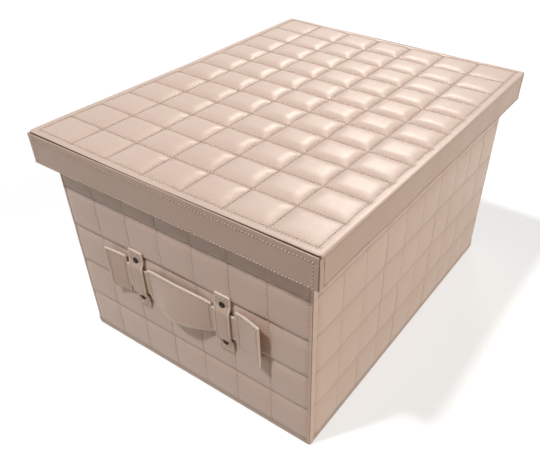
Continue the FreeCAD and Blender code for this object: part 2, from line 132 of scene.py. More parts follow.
def pixels(default, name, description):
    return bpy.props.FloatProperty(name=name, description=description, default=default, subtype="PIXEL")


def count(default, name, description):
    return bpy.props.IntProperty(name=name, description=description, default=default, min=1)


def linear(code):
    """An sRGB hex colour as the linear values that shaders use."""
    parts = [int(code[place:place + 2], 16) / 255 for place in (1, 3, 5)]
    return tuple(part / 12.92 if part <= 0.04045 else ((part + 0.055) / 1.055) ** 2.4 for part in parts)


def colour(code, name, description):
    return bpy.props.FloatVectorProperty(name=name, description=description, default=linear(code),
                                         subtype="COLOR", size=3, min=0, max=1)


class QuiltSettings(bpy.types.PropertyGroup):
    front_columns: count(7, "Front columns", "Padded cells across the front and the rear")
    side_columns: count(10, "Side columns", "Padded cells along each side")
    wall_rows: count(5, "Wall rows", "Padded cells up each wall")
    lid_columns: count(7, "Lid columns", "Padded cells across the lid")
    lid_rows: count(11, "Lid rows", "Padded cells along the lid")
    front_margin: size(4.3, "Front margin", "Corner to the first seam on the front and the rear")
    side_margin: size(8, "Side margin", "Corner to the first seam on the sides")
    foot_margin: size(5, "Foot margin", "Floor to the lowest seam")
    rim_margin: size(7, "Rim margin", "Rim to the highest seam")
    lid_side_margin: size(7, "Lid side margin", "Lid edge to the first seam, across")
    lid_end_margin: size(8.5, "Lid end margin", "Lid edge to the first seam, along")
    lid_rise: size(2.7, "Lid rise", "Height of the lid's padded cells above the seams")
    wall_rise: size(1.8, "Wall rise", "Height of the walls' padded cells above the level seams")
    upright_share: number(0.12, "Upright share", "How deep the upright seams of the front and the rear are")
    side_share: number(0.05, "Side upright share", "How deep the upright seams of the sides are")
    side_roll: size(7, "Side roll", "Width of the rounding beside an upright seam")
    lower_roll: size(4.5, "Lower roll", "Width of the rounding above a level seam, where padding sags")
    upper_roll: size(14, "Upper roll", "Width of the rounding below a level seam")
    lid_roll: size(10.5, "Lid roll", "Width of the rounding beside a seam of the lid")
    wall_crease: number(1.0, "Wall crease", "Walls' seams: 0 for rounded valleys, 1 for sharp creases")
    lid_crease: number(0.35, "Lid crease", "Lid's seams: 0 for rounded valleys, 1 for sharp creases")
    border: number(0.4, "Border", "Height of the sewn border, as a share of the rise")
    pucker: size(0.5, "Pucker", "Height of the small gathers beside the seams")
    unevenness: size(0.5, "Unevenness", "Height of the slow waves in the padding")
    wall_gather: number(0.3, "Wall gathers", "Strength of the gathers at the walls' stitches")
    lid_gather: number(1.0, "Lid gathers", "Strength of the gathers at the lid's stitches")
    seed: count(7, "Seed", "Seed of the small differences between cells")


class StitchSettings(bpy.types.PropertyGroup):
    pitch: size(3.1, "Pitch", "Stitch to stitch along a seam")
    length: size(1.9, "Length", "Length of one stitch")
    thread: size(1.05, "Thread", "Thickness of the thread")
    hole: size(1.0, "Hole", "Width of a needle hole")
    wall_share: number(0.8, "Wall share", "Size of the walls' stitches, as a share of the others")
    side_share: number(0.55, "Side share", "Size of the side walls' stitches, as a share of the others")
    edge_gap: size(3, "Edge gap", "Sewn edge to its row of stitches")
    foot_gap: size(2.1, "Foot gap", "Lower edge of the skirt to its row of stitches")
    groove: size(0.12, "Groove", "How far a row presses into thick leather")


class StrapSettings(bpy.types.PropertyGroup):
    upper_bow: size(3, "Upper bow", "How far the grip's upper edge bows away from the wall")
    lower_bow: size(9, "Lower bow", "How far the grip's lower edge bows away from the wall")
    grip_half: size(38, "Grip half length", "Strap middle to the inner shoulders")
    grip_height: size(33, "Grip height", "Height of the grip at its ends")
    belly: size(3.2, "Belly", "How far the grip's lower edge curves down")
    arch: size(4, "Arch", "How far the grip's upper edge curves up")
    neck_height: size(27, "Neck height", "Height of the strap inside the keepers")
    tab_shoulder: size(64, "Outer shoulder", "Strap middle to the outer shoulders")
    tab_root: size(42, "Tab root", "Height of a tab at its shoulder")
    tab_end: size(46, "Tab end", "Height of a tab at its end")
    right_tab: size(29, "Right tab", "Outer shoulder to the end of the right tab")
    left_tab: size(24, "Left tab", "Outer shoulder to the end of the left tab")
    right_lift: size(6, "Right lift", "How far the right tab curls away from the wall")
    left_lift: size(3.5, "Left lift", "How far the left tab curls away from the wall")
    thickness: size(2.0, "Thickness", "Thickness of the strap")
    wall_gap: size(0.7, "Wall gap", "Wall's padding to the flat part of the strap")
    keeper_thickness: size(2.1, "Keeper thickness", "Thickness of a keeper")
    keeper_room: size(3.1, "Keeper room", "Wall's padding to the inside of a keeper's bridge")
    keeper_flat: size(14, "Keeper flat", "Half length of the flat part of a keeper's bridge")
    keeper_ramp: size(8, "Keeper ramp", "Length over which a keeper comes down to the wall")
    keeper_gap: size(2.3, "Keeper edge gap", "A keeper's edge to its row of stitches")
    shoulder_round: size(1.6, "Shoulder rounding", "Length over which a shoulder turns")
    edge_round: size(0.7, "Edge rounding", "Radius of the painted edges")


class FinishSettings(bpy.types.PropertyGroup):
    leather: colour("#D5BCAE", "Leather", "Blush faux leather")
    # Painted shade: the relief layer lays this colour in the padded seams' valleys; it also mottles the
    # leather, the thread and the needle holes at random.
    shade: colour("#BF9F8E", "Leather in the seams", "Faux leather where it is gathered and soiled")
    # Painted shade: laid on the walls' padding just above each level seam, where it turns under.
    crease: colour("#846A5A", "Creases", "Faux leather that turns under at the walls' level seams")
    # Painted shade: the same leather as the padded covers, given a darker colour where it is glued flat.
    plain: colour("#C2A898", "Plain leather", "Faux leather glued flat to board")
    strap: colour("#CBB2A2", "Strap leather", "Leather of the straps and keepers")
    edge: colour("#E8D7C8", "Edges", "Painted edges of the straps and keepers")
    thread: colour("#E2D2C5", "Thread", "Sewing thread")
    # Painted shade: the shadow in a needle hole; it also darkens the raw edges at corners and lays painted
    # shade in the gap beside the lid's top.
    hole: colour("#7C6250", "Needle holes", "Needle holes, and the raw edges that meet at corners")
    rivet: colour("#22170F", "Rivets", "Blackened brass")
    rubbed: colour("#5A3E28", "Rubbed rivets", "Brass where the black is rubbed off")
    board: colour("#9A8468", "Board", "Pressed fibreboard")
    lining: colour("#8C7B70", "Lining", "Flocked lining cloth")


class StageSettings(bpy.types.PropertyGroup):
    focal: pixels(604.0, "Focal length", "Focal length in pixels of a picture 540 pixels wide")
    centre_across: pixels(307.7, "Centre across", "Pixel column where the camera's axis meets the picture")
    centre_down: pixels(274.4, "Centre down", "Pixel row where the camera's axis meets the picture")
    azimuth: angle(33.9, "Azimuth", "Angle from looking along +Y")
    elevation: angle(39.7, "Elevation", "Angle that the camera looks down")
    roll: angle(-1.0, "Roll", "Angle that the camera is rolled")
    place: bpy.props.FloatVectorProperty(name="Place", description="Where the camera stands",
                                         default=(0.3121, -0.4489, 0.4635),
                                         subtype="TRANSLATION", unit="LENGTH")
    rear_light: number(0.44, "Rear light", "Light from above and behind, where 1 shows a colour as it is")
    front_light: number(0.65, "Front light", "Light from above at the front left")
    right_light: number(0.51, "Right light", "Light from the right")
    sky: number(0.11, "Sky", "Strength of the even light from all round")


# Building helpers.

def add(tree, kind, inputs=None, **settings):
    """Add a node, set its properties, and link or fill its inputs by number or name."""
    node = tree.nodes.new(kind)
    for name, setting in settings.items():
        setattr(node, name, setting)
    for key, source in (inputs or {}).items():
        if isinstance(source, bpy.types.Node):
            source = source.outputs[0]
        if isinstance(source, bpy.types.NodeSocket):
            tree.links.new(source, node.inputs[key])
        else:
            node.inputs[key].default_value = source
    return node


def new_tree(name, inputs):
    """A geometry tree with a geometry input and output and the given named inputs."""
    tree = bpy.data.node_groups.new(name, "GeometryNodeTree")
    tree.interface.new_socket("Geometry", in_out="INPUT", socket_type="NodeSocketGeometry")
    for label, kind in inputs:
        tree.interface.new_socket(label, in_out="INPUT", socket_type="NodeSocket" + kind)
    tree.interface.new_socket("Geometry", in_out="OUTPUT", socket_type="NodeSocketGeometry")
    return tree, add(tree, "NodeGroupInput").outputs


def apply_tree(piece, tree, values):
    """Run a geometry tree on a piece and keep the result as its plain mesh."""
    modifier = piece.modifiers.new(tree.name, "NODES")
    modifier.node_group = tree
    for item in tree.interface.items_tree:
        if item.in_out == "INPUT" and item.name in values:
            modifier[item.identifier] = values[item.name]
    graph = bpy.context.evaluated_depsgraph_get()
    mesh = bpy.data.meshes.new_from_object(piece.evaluated_get(graph), preserve_all_data_layers=True,
                                           depsgraph=graph)
    piece.modifiers.clear()
    piece.data = mesh
    if not len(mesh.polygons):
        raise RuntimeError("nothing was made for " + piece.name)


def new_piece(name, points, faces, attributes=None, material=None, edges=()):
    """A mesh object at the origin, smooth, with its own point attributes."""
    mesh = bpy.data.meshes.new(name)
    mesh.from_pydata([tuple(point) for point in points], edges, faces)
    for label, values in (attributes or {}).items():
        values = np.asarray(values, float)
        kind, field = ("FLOAT_VECTOR", "vector") if values.ndim == 2 else ("FLOAT", "value")
        mesh.attributes.new(label, kind, "POINT").data.foreach_set(field, values.ravel())
    mesh.shade_smooth()
    mesh.validate()
    piece = bpy.data.objects.new(name, mesh)
    bpy.context.scene.collection.objects.link(piece)
    if material:
        mesh.materials.append(material)
    return piece


def hand_over(piece, body, slot, *nodes):
    """Let a finished piece ride on its body in place of the nodes it stands for."""
    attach(piece, body)
    if nodes:
        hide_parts(*nodes)


def drawn_in(to_end, radius):
    """How far a round of this radius draws a surface in, at a distance from its end."""
    reach = min(max(radius - to_end, 0.0), radius)
    return radius - math.sqrt(radius ** 2 - reach ** 2)


def loops_to_faces(loop_count, loop_length):
    """Faces between closed loops of points that run the same way, with a cap on each end."""
    faces = []
    last = (loop_count - 1) * loop_length
    for low in range(0, last, loop_length):
        high = low + loop_length
        for step in range(loop_length):
            after = (step + 1) % loop_length
            faces.append((low + step, low + after, high + after, high + step))
    faces.append(tuple(reversed(range(loop_length))))
    faces.append(tuple(last + step for step in range(loop_length)))
    return faces


def outward_faces(piece):
    """Turn all faces of a closed piece outwards."""
    work = bmesh.new()
    work.from_mesh(piece.data)
    bmesh.ops.recalc_face_normals(work, faces=work.faces)
    work.to_mesh(piece.data)
    work.free()


def arc(centre, radius, start, end, steps):
    """Points on an arc, in degrees."""
    angles = np.radians(np.linspace(start, end, steps))
    return [(centre[0] + radius * math.cos(angle), centre[1] + radius * math.sin(angle)) for angle in angles]


ROW_REACH = 1.1 * MM  # how far beside a row the leather is pressed
ROW_STEPS = np.array([-1.1, -0.6, 0, 0.6, 1.1]) * MM


def pressed(to_row):
    """How far a row of stitches presses thick leather in, at a distance from the row."""
    return bpy.context.scene.box_stitch.groove * max(0.0, 1 - to_row / ROW_REACH)


STEPS_BESIDE_SEAM = 13
CROWDING = 1.7  # how close together the steps lie near a seam, where 1 is evenly spread
CORNER_STEPS = np.array([0, 0.15, 0.4, 0.8, 1.3, 2.0]) * MM


def seam_places(first, pitch, cells):
    """Where the seams lie on both sides of each cell in a row."""
    return first + pitch * np.arange(cells + 1)


def stops(low, high, seams):
    """Places across a panel, close together beside each seam and at the panel's ends."""
    pitch = seams[1] - seams[0]
    beside = pitch / 2 * (np.arange(1, STEPS_BESIDE_SEAM + 1) / STEPS_BESIDE_SEAM) ** CROWDING
    around = np.concatenate([-beside, [0], beside])
    places = np.concatenate([(seams[:, None] + around).ravel(), low + CORNER_STEPS, high - CORNER_STEPS])
    return np.unique(np.round(np.clip(places, low, high), 6))


# Materials. Each reads the piece's own coordinates in metres, so a scale is one over a real size.

NOISE_SPAN = {"From Min": 0.3, "From Max": 0.7}  # a noise lies mostly between these


def new_material(name):
    """A material with its tree and its shader."""
    material = bpy.data.materials.new(name)
    material.use_nodes = True
    tree = material.node_tree
    return material, tree, tree.nodes["Principled BSDF"]


def gathers(tree, pitch):
    """Height of the small gathers that each stitch draws beside a seam."""
    heights = []
    for along, closeness in (("across", "by_level"), ("up", "by_side")):
        place, near = (add(tree, "ShaderNodeAttribute", attribute_name=name).outputs["Fac"]
                       for name in (along, closeness))
        turns = add(tree, "ShaderNodeMath", {0: place, 1: 2 * math.pi / pitch}, operation="MULTIPLY")
        wave = add(tree, "ShaderNodeMath", {0: turns}, operation="SINE")
        heights.append(add(tree, "ShaderNodeMath", {0: wave, 1: near}, operation="MULTIPLY"))
    return add(tree, "ShaderNodeMath", {0: heights[0], 1: heights[1]}, operation="ADD")


def leather(name, finish, base, coat, layers=(), stitch_pitch=None):
    """Polyurethane leather: a pearly film with an embossed grain over soft backing.

    The film gives a soft broad gloss with a brighter, tighter one over it. The grain is
    embossed about 1 mm wide. Each layer is the name of an attribute, the range over which
    it shows, and the colour that it lays over the leather.
    """
    material, tree, shader = new_material(name)
    place = add(tree, "ShaderNodeTexCoord").outputs["Object"]
    cloud, wrinkle, grain = 70 * MM, 5 * MM, 1.1 * MM
    clouds = add(tree, "ShaderNodeTexNoise", {"Vector": place, "Scale": 1 / cloud, "Detail": 3})
    grains = add(tree, "ShaderNodeTexVoronoi", {"Vector": place, "Scale": 1 / grain, "Smoothness": 0.6},
                 feature="SMOOTH_F1")
    wrinkles = add(tree, "ShaderNodeTexNoise", {"Vector": place, "Scale": 1 / wrinkle, "Detail": 4,
                                                "Roughness": 0.62})
    tone = add(tree, "ShaderNodeMapRange", {"Value": clouds, **NOISE_SPAN, "To Min": 0.0, "To Max": 0.2})
    colour_now = add(tree, "ShaderNodeMix", {0: tone, 6: (*base, 1), 7: (*finish.shade, 1)},
                     data_type="RGBA").outputs[2]
    for attribute, start, end, tint in layers:
        amount = add(tree, "ShaderNodeAttribute", attribute_name=attribute).outputs["Fac"]
        shown = add(tree, "ShaderNodeMapRange", {"Value": amount, "From Min": start, "From Max": end})
        colour_now = add(tree, "ShaderNodeMix", {0: shown, 6: colour_now, 7: (*tint, 1)},
                         data_type="RGBA").outputs[2]
    gloss = add(tree, "ShaderNodeMapRange", {"Value": wrinkles, **NOISE_SPAN, "To Min": 0.42, "To Max": 0.54})
    surface = add(tree, "ShaderNodeBump", {"Strength": 0.25, "Distance": 0.5 * MM, "Height": wrinkles})
    surface = add(tree, "ShaderNodeBump", {"Strength": 0.3, "Distance": 0.12 * MM, "Height": grains,
                                           "Normal": surface})
    if stitch_pitch:
        surface = add(tree, "ShaderNodeBump", {"Strength": 1.0, "Distance": 0.5 * MM, "Normal": surface,
                                               "Height": gathers(tree, stitch_pitch)})
    for key, source in (("Base Color", colour_now), ("Roughness", gloss.outputs[0]),
                        ("Normal", surface.outputs[0])):
        tree.links.new(source, shader.inputs[key])
    shader.inputs["IOR"].default_value = 1.5
    shader.inputs["Coat Weight"].default_value = coat
    shader.inputs["Coat Roughness"].default_value = 0.3
    return material


def quilted_leather(finish):
    """Leather over soft padding, with painted shade: darker in the seams' valleys, and
    darkest just above the walls' level seams, where the padding turns under.
    """
    return leather("padded polyurethane leather", finish, finish.leather, 0.4,
                   # Painted shade: darker towards the shade colour where the padding's relief is low, in the
                   # seams' valleys; fold lays painted shade above the walls' level seams.
                   [("relief", 0.2, -0.2, finish.shade), ("fold", 0.13, 1.0, finish.crease),
                    # Dark raw edges at the corners, with painted shade in those joints and in the gap beside
                    # the lid's top.
                    ("raw_edge", 0.3, 1.0, finish.hole)],
                   bpy.context.scene.box_stitch.pitch)


def plain_leather(finish):
    """Leather glued to board: evenly matte, and given a darker colour than the padded leather as
    painted shade, with a dark raw edge where it meets at corners and painted shade in the gap beside the
    lid's top.
    """
    return leather("polyurethane leather on board", finish, finish.plain, 0.3,
                   [("raw_edge", 0.3, 1.0, finish.hole)])


def strap_leather(finish):
    """Two layers sewn together: satin faces, and paler edges filled with edge paint."""
    return leather("edge-painted strap leather", finish, finish.strap, 0.3,
                   [("cut_edge", 0.2, 0.7, finish.edge)])


def mottled(name, first, second, grain, noise, sockets, relief=None):
    """A rough material that a noise mottles between two colours.

    grain is the width of its spots and noise its other inputs, sockets are the shader's
    own values, and relief is the strength, height and width of its bumps.
    """
    material, tree, shader = new_material(name)
    place = add(tree, "ShaderNodeTexCoord").outputs["Object"]
    spots = add(tree, "ShaderNodeTexNoise", {"Vector": place, "Scale": 1 / grain, **noise})
    tint = add(tree, "ShaderNodeMix", {0: spots, 6: (*first, 1), 7: (*second, 1)}, data_type="RGBA")
    tree.links.new(tint.outputs[2], shader.inputs["Base Color"])
    if relief:
        strength, height, width = relief
        if width != grain:
            spots = add(tree, "ShaderNodeTexNoise", {"Vector": place, "Scale": 1 / width, "Detail": 2})
        bumps = add(tree, "ShaderNodeBump", {"Strength": strength, "Distance": height, "Height": spots})
        tree.links.new(bumps.outputs[0], shader.inputs["Normal"])
    for key, value in sockets.items():
        shader.inputs[key].default_value = value
    return material


def darker(tint, share):
    """A linear colour with only a share of its brightness."""
    return tuple(part * share for part in tint)


def thread(finish):
    """Twisted polyester thread: a slight sheen, with the twist too fine to show."""
    return mottled("twisted polyester thread", finish.thread, finish.shade, 0.4 * MM, {"Detail": 2},
                   {"Roughness": 0.55, "Sheen Weight": 0.15})


def needle_hole_shade(finish):
    """Painted shade: a dark dot that stands for the shadow inside a needle hole."""
    return mottled("needle hole in leather backing", finish.hole, finish.shade, 0.5 * MM, {"Detail": 1},
                   {"Roughness": 0.95, "Specular IOR Level": 0.1})


def fibreboard(finish):
    """Pressed fibreboard: matte brown with short fibres and darker specks."""
    return mottled("pressed fibreboard", finish.board, darker(finish.board, 0.55), 2.5 * MM,
                   {"Detail": 5, "Roughness": 0.7, "Distortion": 1.5}, {"Roughness": 0.88},
                   (0.4, 0.2 * MM, 2.5 * MM))


def flocked_cloth(finish):
    """Flocked cloth: short upright fibres that give a soft pale rim and a cloudy nap."""
    return mottled("flocked lining cloth", finish.lining, darker(finish.lining, 0.7), 25 * MM, {"Detail": 4},
                   {"Roughness": 0.95, "Sheen Weight": 0.4}, (0.5, 0.25 * MM, 0.7 * MM))


def antique_brass(finish):
    """Brass, stamped and blackened: dark and satin, browner where it is rubbed."""
    material, tree, shader = new_material("blackened stamped brass")
    place = add(tree, "ShaderNodeTexCoord").outputs["Object"]
    wear = add(tree, "ShaderNodeTexNoise", {"Vector": place, "Scale": 1 / (1.6 * MM), "Detail": 3})
    rubbed = add(tree, "ShaderNodeMapRange", {"Value": wear, "From Min": 0.5, "From Max": 0.75,
                                              "To Min": 0.0, "To Max": 0.6})
    tint = add(tree, "ShaderNodeMix", {0: rubbed, 6: (*finish.rivet, 1), 7: (*finish.rubbed, 1)},
               data_type="RGBA")
    gloss = add(tree, "ShaderNodeMapRange", {"Value": wear, "To Min": 0.3, "To Max": 0.5})
    dents = add(tree, "ShaderNodeBump", {"Strength": 0.2, "Distance": 0.1 * MM, "Height": wear})
    tree.links.new(tint.outputs[2], shader.inputs["Base Color"])
    tree.links.new(gloss.outputs[0], shader.inputs["Roughness"])
    tree.links.new(dents.outputs[0], shader.inputs["Normal"])
    shader.inputs["Metallic"].default_value = 0.7
    return material


MATERIALS = {
    "quilted": quilted_leather,
    "plain": plain_leather,
    "strap": strap_leather,
    "thread": thread,
    "hole": needle_hole_shade,
    "brass": antique_brass,
    "board": fibreboard,
    "cloth": flocked_cloth,
}
materials_made = {}


def material(kind):
    """The material of this kind, made when it is first asked for."""
    if kind not in materials_made:
        materials_made[kind] = MATERIALS[kind](bpy.context.scene.box_finish)
    return materials_made[kind]


# Quilting: a geometry tree that presses the seams into a smooth padded panel.

SEAM_LINE = 0.3 * MM  # half the width of the line that a seam pulls fully in
EASING = 0.62  # how early a rounded valley turns up, where 1 is in its middle
BORDER_TURN = 3 * MM  # beyond the last seam, the width over which a seam fades out
FULLNESS, CHANCE, CROWN = 0.86, 0.14, 0.18  # a cell's height: at least, by chance, and in its middle
GATHER_SPAN, GATHER_WIDTH = 7 * MM, 4 * MM  # how far from a seam the leather gathers, and how finely
WAVE_LENGTH = 22 * MM  # of the slow waves in the padding
STITCH_SPAN = 4 * MM  # how far from a seam its stitches draw the leather
CREASE_SHADE_SPAN = 10 * MM  # how far above a level seam the painted shade of the turned-under padding reaches


def quilting_tree():
    """Sinks each point of a panel by how near it lies to a seam.

    The panel's points carry where they lie across and up the panel, how padded they are,
    and which way is outwards. Between seams the padding rises in a rounded step and is
    fuller in some cells than in others. Outside the outermost seams it is a low border.
    """
    names = ["First Across", "Cell Width", "Cells Across", "First Up", "Cell Height", "Cells Up", "Rise",
             "Upright Share", "Side Roll", "Lower Roll", "Upper Roll", "Crease", "Border", "Pucker", "Gather",
             "Unevenness", "Seed"]
    tree, given = new_tree("quilting", [(name, "Float") for name in names] + [("Leather", "Material")])
    across, up, padding, outward = (
        add(tree, "GeometryNodeInputNamedAttribute", {"Name": name}, data_type=kind)
        for name, kind in (("across", "FLOAT"), ("up", "FLOAT"), ("padding", "FLOAT"),
                           ("outward", "FLOAT_VECTOR")))
    border_depth = add(tree, "ShaderNodeMath", {0: 1.0, 1: given["Border"]}, operation="SUBTRACT")

    def beside(distance, roll, deepest):
        """Height at a distance from a seam: 1 beyond a step that is as deep as given.

        The step is a rounded valley, a sharp crease, or between the two.
        """
        clear = add(tree, "ShaderNodeMath", {0: distance, 1: SEAM_LINE}, operation="SUBTRACT")
        share = add(tree, "ShaderNodeMath", {0: clear, 1: roll}, operation="DIVIDE", use_clamp=True)
        early = add(tree, "ShaderNodeMath", {0: share, 1: EASING}, operation="POWER")
        valley = add(tree, "ShaderNodeMapRange", {"Value": early}, interpolation_type="SMOOTHSTEP")
        left = add(tree, "ShaderNodeMath", {0: 1.0, 1: share}, operation="SUBTRACT")
        curl = add(tree, "ShaderNodeMath", {0: left, 1: 3.0}, operation="POWER")
        crease = add(tree, "ShaderNodeMath", {0: 1.0, 1: curl}, operation="SUBTRACT")
        step = add(tree, "ShaderNodeMix", {0: given["Crease"], 2: valley, 3: crease}, data_type="FLOAT")
        return add(tree, "ShaderNodeMix", {0: deepest, 2: 1.0, 3: step}, data_type="FLOAT")

    def cells(place, first, pitch, total, depth, rolls):
        """Along one direction: the dip, how far outside the last seam, and where in which cell."""
        start = add(tree, "ShaderNodeMath", {0: place, 1: given[first]}, operation="SUBTRACT")
        along = add(tree, "ShaderNodeMath", {0: start, 1: given[pitch]}, operation="DIVIDE")
        number = add(tree, "ShaderNodeMath", {0: along}, operation="FLOOR")
        part = add(tree, "ShaderNodeMath", {0: along}, operation="FRACT")
        before = add(tree, "ShaderNodeMath", {0: along, 1: -1.0}, operation="MULTIPLY")
        behind = add(tree, "ShaderNodeMath", {0: along, 1: given[total]}, operation="SUBTRACT")
        past = add(tree, "ShaderNodeMath", {0: before, 1: behind}, operation="MAXIMUM")
        overhang = add(tree, "ShaderNodeMath", {0: past, 1: given[pitch]}, operation="MULTIPLY")
        outside = add(tree, "ShaderNodeMapRange", {"Value": overhang, "From Max": BORDER_TURN})
        to_first = add(tree, "ShaderNodeMath", {0: part, 1: given[pitch]}, operation="MULTIPLY")
        to_next = add(tree, "ShaderNodeMath", {0: given[pitch], 1: to_first}, operation="SUBTRACT")
        last = add(tree, "ShaderNodeMath", {0: given[total], 1: 1.5}, operation="SUBTRACT")
        at_first = add(tree, "ShaderNodeMath", {0: number, 1: 0.5}, operation="LESS_THAN")
        at_last = add(tree, "ShaderNodeMath", {0: number, 1: last}, operation="GREATER_THAN")
        height = 1.0
        for distance, roll, at_end in ((to_first, rolls[0], at_first), (to_next, rolls[1], at_last)):
            deepest = add(tree, "ShaderNodeMix", {0: at_end, 2: depth, 3: border_depth}, data_type="FLOAT")
            risen = beside(distance, given[roll], deepest)
            height = add(tree, "ShaderNodeMath", {0: height, 1: risen}, operation="MULTIPLY")
        inside = add(tree, "ShaderNodeMath", {0: past, 1: 0.0}, operation="LESS_THAN")
        sunk = add(tree, "ShaderNodeMath", {0: 1.0, 1: height}, operation="SUBTRACT")
        dip = add(tree, "ShaderNodeMath", {0: sunk, 1: inside}, operation="MULTIPLY")
        gap = add(tree, "ShaderNodeMath", {0: to_first, 1: to_next}, operation="MINIMUM")
        return dip, outside, inside, number, part, gap

    side_dip, side_out, in_columns, column, column_part, side_gap = cells(
        across, "First Across", "Cell Width", "Cells Across", given["Upright Share"],
        ("Side Roll", "Side Roll"))
    level_dip, level_out, in_rows, row, row_part, level_gap = cells(
        up, "First Up", "Cell Height", "Cells Up", 1.0, ("Lower Roll", "Upper Roll"))

    # A cell is fuller in its middle, and some cells are fuller than others.
    cell = add(tree, "ShaderNodeCombineXYZ", {0: column, 1: row, 2: given["Seed"]})
    chance = add(tree, "ShaderNodeTexWhiteNoise", {"Vector": cell}, noise_dimensions="3D").outputs["Value"]
    domes = []
    for part in (column_part, row_part):
        half_turn = add(tree, "ShaderNodeMath", {0: part, 1: math.pi}, operation="MULTIPLY")
        domes.append(add(tree, "ShaderNodeMath", {0: half_turn}, operation="SINE"))
    crown = add(tree, "ShaderNodeMath", dict(enumerate(domes)), operation="MULTIPLY")
    swell = add(tree, "ShaderNodeMath", {0: chance, 1: CHANCE, 2: FULLNESS}, operation="MULTIPLY_ADD")
    swell = add(tree, "ShaderNodeMath", {0: crown, 1: CROWN, 2: swell}, operation="MULTIPLY_ADD")
    inside = add(tree, "ShaderNodeMath", {0: in_columns, 1: in_rows}, operation="MULTIPLY")
    relief = add(tree, "ShaderNodeMix", {0: inside, 2: given["Border"], 3: swell}, data_type="FLOAT")
    for dip, out in ((side_dip, level_out), (level_dip, side_out)):
        pressing = add(tree, "ShaderNodeMix", {0: out, 2: dip, 3: 0.0}, data_type="FLOAT")
        risen = add(tree, "ShaderNodeMath", {0: 1.0, 1: pressing}, operation="SUBTRACT")
        relief = add(tree, "ShaderNodeMath", {0: relief, 1: risen}, operation="MULTIPLY")

    # Small gathers beside the seams and slow waves in the padding.
    lowered = add(tree, "ShaderNodeMath", {0: relief, 1: 1.0}, operation="SUBTRACT")
    depth = add(tree, "ShaderNodeMath", {0: lowered, 1: given["Rise"]}, operation="MULTIPLY")
    gap = add(tree, "ShaderNodeMath", {0: side_gap, 1: level_gap}, operation="MINIMUM")
    near = add(tree, "ShaderNodeMapRange", {"Value": gap, "From Max": GATHER_SPAN,
                                            "To Min": 1.0, "To Max": 0.0})
    spot = add(tree, "ShaderNodeCombineXYZ", {0: across, 1: up, 2: given["Seed"]})
    for length, where, height in ((GATHER_WIDTH, near, given["Pucker"]),
                                  (WAVE_LENGTH, relief, given["Unevenness"])):
        noise = add(tree, "ShaderNodeTexNoise", {"Vector": spot, "Scale": 1 / length, "Detail": 2.0})
        swing = add(tree, "ShaderNodeMath", {0: noise, 1: 0.5}, operation="SUBTRACT")
        here = add(tree, "ShaderNodeMath", {0: swing, 1: where}, operation="MULTIPLY")
        depth = add(tree, "ShaderNodeMath", {0: here, 1: height, 2: depth}, operation="MULTIPLY_ADD")
    offset = add(tree, "ShaderNodeMath", {0: depth, 1: padding}, operation="MULTIPLY")
    move = add(tree, "ShaderNodeVectorMath", {0: outward, "Scale": offset}, operation="SCALE")
    kept = add(tree, "GeometryNodeSetPosition", {"Geometry": given["Geometry"], "Offset": move})

    # What the leather reads: the relief and the folds above level seams, which it paints as shade, and the
    # nearness of stitches.
    above = add(tree, "ShaderNodeMath", {0: row_part, 1: given["Cell Height"]}, operation="MULTIPLY")
    # Painted shade above each level seam: as strong as the Crease input at the seam, gone a span above it.
    shade_ramp = add(tree, "ShaderNodeMapRange", {"Value": above, "From Max": CREASE_SHADE_SPAN,
                                              "To Min": given["Crease"], "To Max": 0.0})
    crease_shade = add(tree, "ShaderNodeMath", {0: shade_ramp, 1: shade_ramp}, operation="MULTIPLY")
    fold = add(tree, "ShaderNodeMix", {0: side_out, 2: crease_shade, 3: 0.0}, data_type="FLOAT")
    fields = {"relief": relief, "fold": fold}
    for name, gap, out in (("by_level", level_gap, side_out), ("by_side", side_gap, level_out)):
        close = add(tree, "ShaderNodeMapRange", {"Value": gap, "From Max": STITCH_SPAN,
                                                 "To Min": given["Gather"], "To Max": 0.0})
        fields[name] = add(tree, "ShaderNodeMix", {0: out, 2: close, 3: 0.0}, data_type="FLOAT")
    for name, value in fields.items():
        kept = add(tree, "GeometryNodeStoreNamedAttribute", {"Geometry": kept, "Name": name, "Value": value},
                   data_type="FLOAT", domain="POINT")
    real = add(tree, "GeometryNodeRealizeInstances", {0: kept})
    done = add(tree, "GeometryNodeSetMaterial", {"Geometry": real, "Material": given["Leather"]})
    add(tree, "NodeGroupOutput", {0: done})
    return tree


def quilt(piece, across_seams, up_seams, rise, upright_share, rolls, crease, gather, seed):
    """Press a panel's seams in, given where they lie."""
    settings = bpy.context.scene.box_quilt
    tree = bpy.data.node_groups.get("quilting") or quilting_tree()
    side_roll, lower_roll, upper_roll = rolls
    apply_tree(piece, tree, {
        "First Across": float(across_seams[0]), "Cell Width": float(across_seams[1] - across_seams[0]),
        "Cells Across": float(len(across_seams) - 1), "First Up": float(up_seams[0]),
        "Cell Height": float(up_seams[1] - up_seams[0]), "Cells Up": float(len(up_seams) - 1),
        "Rise": rise, "Upright Share": upright_share, "Side Roll": side_roll, "Lower Roll": lower_roll,
        "Upper Roll": upper_roll, "Crease": crease, "Border": settings.border, "Pucker": settings.pucker,
        "Gather": gather, "Unevenness": settings.unevenness, "Seed": float(seed),
        "Leather": material("quilted")})


# Covers folded from one sheet, with mitred ends, for the walls and the skirt.

MITRE_BLEND = 10 * MM  # how far from a corner the section starts to lean over
CORNER_ROLL = 1.2 * MM
RAW_END = 0.2 * MM  # how near its end a cover shows its dark raw edge, which also paints shade into the joint


